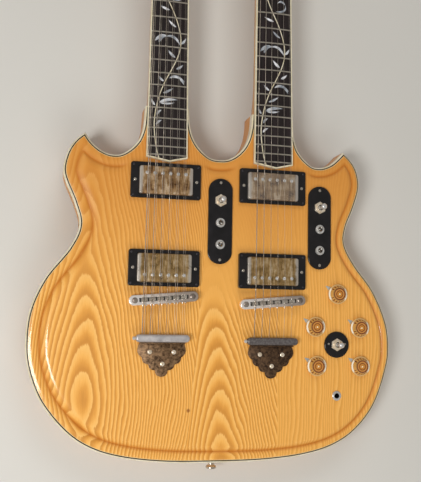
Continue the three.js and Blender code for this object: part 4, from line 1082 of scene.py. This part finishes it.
def buildSwitchPlate(side):
    s = switches
    width, length = s["size"]
    thick, end = s["thick"], "_" + side
    place = shift(*s["plates"][side], bodyTop)
    plate = block("switch_plate_piece" + end, width, length, fitGap, thick, width / 2 - 0.3, 0.7, 20)
    for radius, y in [(s["toggleNut"][-1], s["toggle"])] + [(s["miniNut"][-1], y) for y in s["minis"]]:
        drilled(plate, radius, -3, 6, shift(0, y), 24)
    settle(plate, "black", place=place, instead=["switch_plate" + end], smooth=50)
    nut = nutAndCollar("toggle_nut" + end, *s["toggleNut"], 6)
    settle(nut, "rosy", place=place @ shift(0, s["toggle"]), smooth=25)
    minis = [moved(nutAndCollar("mini_nut" + end, *s["miniNut"], 24), shift(0, y)) for y in s["minis"]]
    settle(join(minis, "mini_nuts" + end), "bright", place=place, smooth=25)
    spots = [shift(0, y * s["endScrew"], thick - 0.25) for y in (-1, 1)]
    setScrews("plate", "plate_screws" + end, spots, place)
    name = "pickup_switch_lever" + end
    lever = turned("toggle" + end, s["lever"], 28)
    settle(lever, "bright", name, place @ shift(0, s["toggle"], s["toggleBall"]), [name])
    for y, tilt, word in zip(s["minis"], s["tilts"][side], ("upper", "lower")):
        name = "mini_switch_lever" + end + "_" + word
        mini = turned("mini" + end + "_" + word, s["miniLever"], 20)
        settle(mini, "steel", name, place @ shift(0, y, s["miniBall"]) @ turn(tilt, "X"), [name])


def buildSelector():
    s = switches
    place = shift(*s["selector"], bodyTop)
    radius, thick = s["disc"], s["thick"]
    disc = turned("selector_plate", [(radius, fitGap), (radius, thick - 0.8), (radius - 0.25, thick - 0.3),
                                     (radius - 0.8, thick)], 64)
    drilled(disc, s["toggleNut"][-1], -3, 6, sides=24)
    settle(disc, "black", place=place, instead=["neck_switch_plate"])
    settle(nutAndCollar("selector_nut", *s["toggleNut"], 6), "rosy", place=place, smooth=25)
    spots = [shift(*spot, thick - 0.15) for spot in s["pips"]]
    settle(spread(turned("pip", s["pip"], 20), "selector_pips", spots), "steel", place=place)
    name = "neck_switch_lever"
    settle(turned("selector_lever", s["lever"], 28), "bright", name,
           place @ shift(0, 0, s["toggleBall"]), [name])


for side in sideways:
    buildSwitchPlate(side)
buildSelector()
print("switches made")


# Knobs, pointers and output jack

knobs = {
    "places": {"upper": (165.49, 12.12), "inner_middle": (133.99, -32.01), "outer_middle": (197.23, -32.63),
               "inner_lower": (135.81, -83.63), "outer_lower": (197.96, -83.84)},
    "profile": [(12.9, 0.3), (13.4, 0.9), (13.5, 3), (13.2, 3.6), (11.8, 3.8), (10.9, 4.2), (8.8, 8.8),
                (8.5, 9.5), (8, 9.95), (7.5, 9.9), (7, 9.4), (5.2, 9.25), (4.8, 9.6), (4.3, 9.65),
                (3.9, 9.3), (2.4, 9.1), (2.1, 9.4), (1.2, 9.7), (0.3, 9.8)],
    "tip": (-16.5, 11), "tipHalf": 6.2, "washer": [(7, 0.02), (7, 0.27)], "mapSpan": 40,
}


def knobFinish():
    # clear plastic over dark marks, seen from above, with pale crescents on the two sides of its flange as
    # painted highlights: all of it drawn on the knob's flat map
    finish = Finish("clear amber knob", Roughness=0.14, Coat_Weight=1, Coat_Roughness=0.04)
    flat = finish.node("TexCoord", output="UV")
    span = knobs["mapSpan"]
    x, y = [finish.node("SeparateXYZ", {}, {0: flat}, output=i) * span - span / 2 for i in (0, 1)]
    away = (x * x + y * y) ** 0.5
    rings = finish.ramp(away / 14, [
        (0, tint("fff4d0")), (0.065, tint("ffe0a0")), (0.1, tint("c67e28")), (0.25, tint("cf8a32")),
        (0.29, tint("7e3e0e")), (0.34, tint("8e4a14")), (0.38, tint("d49442")), (0.48, tint("bc7834")),
        (0.51, tint("6e3010")), (0.57, tint("7e3c14")), (0.61, tint("b08a50")), (0.68, tint("dca656")),
        (0.8, tint("d49c50")), (0.83, tint("9c6430")), (0.86, tint("e8c080")), (0.95, tint("dcaa62")),
    ])
    ticks = x.math("SINE", x.math("ARCTAN2", y, x) * 16)
    band = away.math("COMPARE", away, 10.1, 0.9)
    marks = (ticks > 0) * band * (abs(y) / (away + 0.01) > 0.45)
    marked = finish.blend(marks * 0.9, rings, tint("6c2a12"))
    # pale crescents at the left and right of the flange: painted highlights
    sides = finish.softSpan(abs(x) / (away + 0.01), 0.7, 0.9, 0, 0.9)
    skirt = away.math("COMPARE", away, 12.2, 1)
    return finish.feed(Base_Color=finish.blend(sides * skirt, marked, tint("fff6e0")))


finishes["knob"] = knobFinish()


def flatMap(piece):
    # the piece seen from above as its UV map, with its axis in the middle
    span = knobs["mapSpan"]
    layer = piece.data.uv_layers.active or piece.data.uv_layers.new(name="flat")
    for loop in piece.data.loops:
        spot = piece.data.vertices[loop.vertex_index].co
        layer.data[loop.index].uv = (spot.x / span + 0.5, spot.y / span + 0.5)


def buildKnobs():
    model = turned("knob", knobs["profile"], 48)
    flatMap(model)
    x, y = knobs["tip"]
    washer = turned("pointer", knobs["washer"], 40)
    reach, lean = math.hypot(x, y), math.degrees(math.atan2(y, x))
    for vertex in washer.data.vertices:  # draws one side of the washer out to its pointer
        if vertex.co.x > 0:
            near = max(0, 1 - abs(vertex.co.y) / knobs["tipHalf"])
            vertex.co.x *= mix(1, reach / knobs["washer"][0][0], near)
    moved(washer, turn(lean, "Z"))
    for name, (x, y) in knobs["places"].items():
        place = shift(x, y, bodyTop)
        knob = twin(model, name + "_knob")
        settle(knob, "knob", "knob_" + name, place, ["knob_" + name], smooth=28)
        settle(twin(washer, "pointer_" + name), "pointer", place=place)
    bpy.data.objects.remove(model)
    bpy.data.objects.remove(washer)


jack = {
    "ring": [(4.4, -19), (4.4, 0.3), (6.3, 0.3), (6.3, 0.9), (5.9, 1.1), (5.4, 1.15), (5.3, 1.9), (4.9, 2.2),
             (3.9, 2.2), (3.5, 1.8), (3.45, -18), (0.5, -18)],
    # the black lining of the jack's bore is painted shade inside the hole
    "boreShade": [(3.4, -17.9), (3.4, 0.9), (3.25, 1), (3.22, -17.7), (0.4, -17.7)],  # leaves room for the plug
}


def buildJack():
    ring = turned("jack_ring", jack["ring"], 40)
    place = shift(*fittings["jack"], bodyTop)
    settle(ring, "bright", place=place, instead=["output_jack"])
    # black lining inside the ring: painted shade in the hole
    settle(turned("jack_bore_shade", jack["boreShade"], 32), "black", place=place)


buildKnobs()
buildJack()
print("knobs and jack made")


# Bridges, tailpieces and strings

bridge = {
    "line": {"12": 1.2, "6": -0.9}, "slant": 5.1, "size": (89, 13), "low": 5, "high": 11.4,
    "channel": (63, 5.4, 4),  # length, width, depth
    "saddle": {"12": 3.9, "6": 7.8}, "saddleLength": 4.6, "spread": 50.4, "pair": 2.6, "ridge": 14.4,
    "posts": 37, "postHole": 3.7,
    "post": [(2.6, -13.8), (2.6, 9.6), (3.3, 9.6), (3.4, 10.2), (3.3, 11.3), (2.7, 11.7)],
    "wheel": [(5.2, 0.35), (5.6, 0.7), (5.6, 2.3), (5.2, 2.65)],
    "rod": [(0.75, -6.9), (0.75, 6.2)], "rodHead": [(1.45, -7.9), (1.45, -6.9)],
}


def courses(side, spreadBy, pair):
    # where the strings cross a line: single ones, or pairs on the left neck
    middles = [mix(-spreadBy / 2, spreadBy / 2, course / 5) for course in range(6)]
    if side == "6":
        return middles
    return [middle + hand * pair / 2 for middle in middles for hand in (-1, 1)]


def buildBridge(side):
    b = bridge
    place = shift(sideways[side], b["line"][side], bodyTop) @ turn(b["slant"], "Z")
    length, width = b["size"]
    bar = block("bridge_bar_" + side, length, width, b["low"], b["high"], width / 2 - 0.3, 1.1, 14)
    length, width, deep = b["channel"]
    floor = b["high"] - deep
    cut(bar, block("channel", length, width, floor, b["high"] + 3, 0.6))
    for x in (-b["posts"], b["posts"]):
        drilled(bar, b["postHole"], 3, 20, shift(x, 0))
    settle(bar, "bar", place=place, instead=["bridge_" + side])
    # a dark sheet on the channel's floor: painted shade in the gaps between the saddles
    channelShade = block("bridge_channel_shade_" + side, length - 0.4, width - 0.4, floor - 0.3, floor + 0.3, 0.6)
    settle(channelShade, "black", place=place)
    saddles, screws = [], []
    width = b["saddle"][side]
    for i, x in enumerate(courses(side, b["spread"], b["pair"])):
        if side == "12":
            x += (1 if i % 2 else -1) * max(0, (width + fitGap - b["pair"]) / 2)
        ridge = b["ridge"] - camber(x) - 0.35
        high = ridge - floor
        saddle = addShape("cube", "saddle", size=1, location=(x, 0, mix(floor, ridge, 0.4)),
                          scale=(width, b["saddleLength"], high * 0.8))
        pick(saddle, "FACE", lambda middle, normal: normal.z > 0.9)
        raiseFaces(high * 0.2, (1, 0.12, 1), (x, 0, ridge))
        leave()
        recalc(saddle)
        saddles.append(saddle)
        rod = join([turned("rod", b["rod"], 8), turned("head", b["rodHead"], 14)], "rod")
        screws.append(moved(rod, shift(x, 0, floor + 1.9) @ turn(-90, "X")))
    settle(join(saddles, "saddles_" + side), "nickel", place=place, smooth=20)
    settle(join(screws, "saddle_screws_" + side), "nickel", place=place)
    post = slotted(turned("post", b["post"], 28), 0.9, 0.9, b["post"][-1][1])
    spots = [shift(x, 0) @ turn(a, "Z") for x, a in ((-b["posts"], 25), (b["posts"], -50))]
    posts = spread(join([post, turned("wheel", b["wheel"], 36)], "post"), "bridge_posts_" + side, spots)
    settle(posts, "aged", place=place)


tail = {
    "bar": (69, 9.6, 5.6, 12), "round": 2.6,  # width, length, from, to
    "line": {"12": -49.1, "6": -51.7},
    "half": 31.5, "length": 43.4, "thick": 1.6, "shelf": 58, "swell": 0.11, "steps": 12,
    "lobes": [(0.9, 0), (0.94, 0.1), (0.8, 0.44), (0.53, 0.64), (0.26, 0.81), (0, 1)],
    "screws": [(-15.3, -16.7), (15.5, -16.9), (1.0, -31.7)],
    "pin": [(1.5, -2), (1.5, 1), (2.4, 1.1), (2.4, 3.4), (1.8, 4.2), (0.6, 4.5)],
}


def tailEdge(inset):
    t = tail
    half, length = t["half"] - inset, t["length"] - inset * 1.6
    notches = [Vector((a * half, -b * length)) for a, b in t["lobes"]]
    edge = []
    for i, (start, end) in enumerate(zip(notches, notches[1:])):
        chord = end - start
        out = Vector((-chord.y, chord.x)) * (2 * t["swell"] if i else 0)
        steps = t["steps"] if i else 1
        for step in range(steps):
            share = step / steps
            edge.append(start + chord * share + out * math.sin(math.pi * share))
    return edge + [notches[-1]] + [Vector((-point.x, point.y)) for point in edge[::-1]]


def plateOf(name, edge, low, high, bevel):
    piece = fromParts(name, [(p.x, p.y, low) for p in edge], [tuple(range(len(edge)))])
    recalc(piece)
    edit(piece)
    raiseFaces(high - low)
    leave()
    recalc(piece)
    bevelEdges(piece, bevel, 2, lambda middle, along: middle.z > high - hair)
    return piece


def buildTail(side):
    t = tail
    width, length, low, high = t["bar"]
    place = shift(sideways[side], t["line"][side], bodyTop)
    back = -length / 2 - 0.3
    wall, top = t["thick"], low - fitGap
    plate = moved(plateOf("plate", tailEdge(0), fitGap, fitGap + wall, 0.35), shift(0, back))
    relief = moved(plateOf("tail_relief_" + side, tailEdge(2.6), 1.7, 2.35, 0.3), shift(0, back - 1.2))
    shelf = moved(block("shelf", t["shelf"], length + wall, top - wall, top, 0.5, 0.2), shift(0, -wall / 2))
    riser = moved(block("riser", t["shelf"], wall, fitGap, top + 3, 0, 0.4), shift(0, back - wall / 2))
    bronze = "bronze" + side
    settle(join([plate, shelf, riser], "tail_plate_" + side), bronze, place=place,
           instead=["tailpiece_plate_" + side], smooth=25)
    settle(relief, bronze, place=place, smooth=25)
    spots = [shift(x, y, 2.1) @ turn(25 * x, "Z") for x, y in t["screws"]]
    setScrews("tail", "tail_screws_" + side, spots, place @ shift(0, back + 4.6), "rosy")
    bar = block("string_rail_" + side, width, length, low, high, length / 2 - 0.4, t["round"], 10, 6)
    settle(bar, "rail" + side, place=place, instead=["string_bar_" + side], smooth=50)
    atEnd = place @ shift(-width / 2 + 0.4, 0, mix(low, high, 0.5)) @ turn(-90, "Y")
    settle(turned("rail_pin_" + side, t["pin"], 20), "bright", place=atEnd)


wire = {
    "heaviest": 1.2, "wound": 0.3,  # gauges are shares of the heaviest, and those above this share are wound
    "gauges": {"12": [1, 0.57, 0.83, 0.38, 0.64, 0.26, 0.49, 0.2, 0.3, 0.3, 0.22, 0.22],
               "6": [0.98, 0.77, 0.55, 0.36, 0.28, 0.22]},
    "nutSpread": 36.4, "nutPair": 1.9, "nutEnd": 633.3, "nutHigh": 1.6, "windHigh": 8,
    "post": 26, "postRadius": 3.1, "firstPost": 30, "pitch": {"12": 26.5, "6": 42},
}


def postLines(side):
    return [wire["firstPost"] + wire["pitch"][side] * i for i in range(6 if side == "12" else 3)]


def tube(line, radius, sides=8):
    around = [(radius * math.cos(angle), radius * math.sin(angle))
              for angle in (2 * math.pi * i / sides for i in range(sides))]
    return loft("wire", [[(point.x + a, point.y, point.z + b) for a, b in around] for point in line])


def buildStrings(side):
    w = wire
    length, low, high = tail["bar"][1:]
    atTail = shift(sideways[side], tail["line"][side], bodyTop)
    atBridge = shift(sideways[side], bridge["line"][side], bodyTop) @ turn(bridge["slant"], "Z")
    atNeck, atHead = neckPlace(side), headPlace(side)
    saddles = courses(side, bridge["spread"], bridge["pair"])
    nuts = courses(side, w["nutSpread"], w["nutPair"])
    posts = postLines(side)
    plain, wound, wraps = [], [], []
    for i, (gauge, x, nutX) in enumerate(zip(w["gauges"][side], saddles, nuts)):
        radius = gauge * w["heaviest"] / 2
        hand, outer = (-1, i) if i < len(posts) else (1, 2 * len(posts) - 1 - i)
        beside = hand * (w["post"] - w["postRadius"] - radius - 0.3)
        line = [
            atTail @ Vector((x, length / 2 - 1.2, mix(low, high, 0.5))),
            atBridge @ Vector((x, 0, bridge["ridge"] - camber(x) + radius)),
            atNeck @ Vector((nutX, w["nutEnd"], w["nutHigh"] - camber(nutX) + radius)),
            atHead @ Vector((beside, posts[outer], w["windHigh"])),
        ]
        (wound if gauge > w["wound"] else plain).append(tube(line, radius))
        for n in range(3 if gauge > 0.4 else 4):
            coil = addShape("torus", "coil", major_radius=w["postRadius"] + radius, minor_radius=radius,
                            major_segments=20, minor_segments=6)
            drop = n * (2.1 * radius + 0.05)
            wraps.append(moved(coil, atHead @ shift(hand * w["post"], posts[outer], w["windHigh"] - drop)))
    settle(join(wound, "wound_strings_" + side), "wound", smooth=60)
    settle(join(plain, "plain_strings_" + side), "plain", smooth=60)
    settle(join(wraps, "string_wraps_" + side), "steel", smooth=60)


def woundFinish():
    finish = Finish("wound string", Metallic=1, Roughness=0.32)
    y = finish.millimetres()[1][1]
    # lighter on each turn of the winding, darker between turns: painted highlight and shade along with the
    # bump
    turns = y.math("SINE", y * 12)
    shade = finish.blend(turns * 0.5 + 0.5, tint("b3a494"), tint("ebe0d2"))
    return finish.feed(Base_Color=shade, Normal=finish.bump(turns, 0.5, 0.0001))


finishes["wound"] = woundFinish()
finishes["plain"] = plainFinish("plain string", "c6bbae", "b0a598", (0.42, 0.52), 0.05, 0.5, bump=0)
# one plated steel for both rails: the left rail's paler grey is painted light, the right rail's darker grey
# painted shade; the right one is also more speckled
finishes["rail12"] = plainFinish("rail steel in painted light", "b2aeae", "cec8c5", (0.35, 0.5), 0.1, 0.5)
finishes["rail6"] = plainFinish("rail steel in painted shade", "827c7a", "5c5654", (0.35, 0.5), 0.4, 0.5, bump=0.15)
for side in sideways:
    buildBridge(side)
    buildTail(side)
    buildStrings(side)
print("bridges, tailpieces and strings made")


# Tuners

tuner = {
    "posts": [(3, -15.8), (3.1, 1), (3.1, 9), (2.6, 9.6), (2.6, 10.7), (3.1, 11.3), (3.1, 12.4), (2.7, 13)],
    "washer": [(6, 0.03), (6, 0.45), (5.7, 0.7)], "nut": [(4.9, 0.6), (5.1, 0.9), (5.1, 2.1), (4.7, 2.5)],
    "hole": (0.8, 10.1), "plate": (14, 9, 14.3, 15.7),  # width, past the end posts, from, to
    "housing": (12, 17, 22.3), "worm": (7, 19, 1.95),  # ahead of its post, below the head's top, radius
    "inner": 24.3, "button": (16, 18, 3), "buttonStart": 18.2,
    "shaft": [(1.4, 0), (1.55, 0.3), (1.55, 7.9), (3.0, 8.1), (3.2, 8.7), (3.0, 9.4), (2.0, 9.9), (1.7, 11.5),
              (1.8, 15.5), (2.5, 17), (2.9, 18.4), (2.6, 19.6), (1.4, 20)],
}


def tunerPost():
    radius, high = tuner["hole"]
    post = drilled(turned("post", tuner["posts"], 24), radius, -5, 5, shift(0, 0, high) @ turn(90, "X"), 12)
    return join([post, turned("washer", tuner["washer"], 32), turned("nut", tuner["nut"], 6)], "tuner_post")


def tunerHousing(hand):
    # drawn upside down, its worm bore open to the outside
    width, length, deep = tuner["housing"]
    ahead, down, radius = tuner["worm"]
    housing = block("housing", width, length, tuner["plate"][3] - 0.2, deep, 2, 1.5, 4)
    return drilled(housing, radius, -2.2, 9, shift(0, -ahead / 2, down) @ turn(hand * 90, "Y"), 20)


def tunerKey():
    # along X from its shaft's inner end: shaft, collar and a button that narrows to its tip
    length, width, half = tuner["button"]
    button = block("button", length, width, -half, half, 5.2, 0, 6)
    bevelEdges(button, 1.9, 4, lambda middle, along: abs(middle.z) > half - 0.01)
    for vertex in button.data.vertices:
        share = vertex.co.x / length + 0.5
        vertex.co.y *= mix(0.6, 1, ease(0, 0.35, share)) * mix(1, 0.8, ease(0.35, 1, share))
        vertex.co.z *= mix(1, 0.76, share)
    moved(button, shift(tuner["buttonStart"] + length / 2, 0))
    shaft = moved(turned("shaft", tuner["shaft"], 20), turn(90, "Y"))
    return join([shaft, button], "tuner_key")


def buildTuners(side, word, hand, postModel, keyModel):
    width, margin, low, high = tuner["plate"]
    ahead, down = tuner["worm"][:2]
    posts = postLines(side)
    start, end = posts[0] - margin, posts[-1] + ahead + margin
    flip = turn(180, "X")
    line = shift(hand * wire["post"], 0)
    ending = "_" + side + "_" + word
    plate = block("plate", width, end - start, low, high, 2.5, 0.4, 5, 2)
    parts = [moved(plate, line @ shift(0, (start + end) / 2) @ flip)]
    housing, model = tunerHousing(hand), screw("tuner")
    for y in posts:
        parts.append(twin(housing, "housing", line @ shift(0, y + ahead / 2) @ flip))
        parts.append(twin(postModel, "post", line @ shift(0, y) @ turn(23 * y, "Z")))
    gaps = [start + 2] + [(a + b + ahead) / 2 for a, b in zip(posts, posts[1:])] + [end - 2]
    for i, y in enumerate(gaps):
        parts.append(twin(model, "screw", line @ shift(0, y, 0.1 - high) @ flip @ turn(31 * i, "Z")))
    for shape in (housing, model):
        bpy.data.objects.remove(shape)
    name = "tuner_plate" + ending
    settle(join(parts, name + "_piece"), "plated", place=headPlace(side), instead=[name], smooth=40)
    for i, y in enumerate(posts):
        key = "tuner_key" + ending + "_" + str(i + 1)
        place = headPlace(side) @ shift(hand * tuner["inner"], y + ahead, -down) @ turn(90 - hand * 90, "Z")
        settle(twin(keyModel, key + "_piece"), "plated", key, place, [key], smooth=40)


postModel, keyModel = tunerPost(), tunerKey()
for side in sideways:
    for word, hand in (("left", -1), ("right", 1)):
        buildTuners(side, word, hand, postModel, keyModel)
bpy.data.objects.remove(postModel)
bpy.data.objects.remove(keyModel)
print("tuners made")


# Necks, and finishes for the nodes that stay as they are

def roundNeck(side):
    # a copy of the neck with its corners rounded
    neck = twin(nodes["neck_" + side], "neck_wood_" + side, Matrix.Scale(1000, 4))
    edit(neck)
    bpy.ops.mesh.remove_doubles(threshold=0.01)
    bpy.ops.mesh.dissolve_limited(angle_limit=math.radians(1))
    leave()
    apply(neck, "BEVEL", width=neckLie["round"], segments=3,
          limit_method="ANGLE", angle_limit=math.radians(38))
    settle(neck, "neck", instead=["neck_" + side], smooth=38)
    print("  neck", side, len(neck.data.polygons))


for side in sideways:
    roundNeck(side)

for name, finish in {"nut_12": "bone", "nut_6": "bone", "rear_cover": "black"}.items():
    nodes[name].data.materials.clear()
    nodes[name].data.materials.append(finishes[finish])
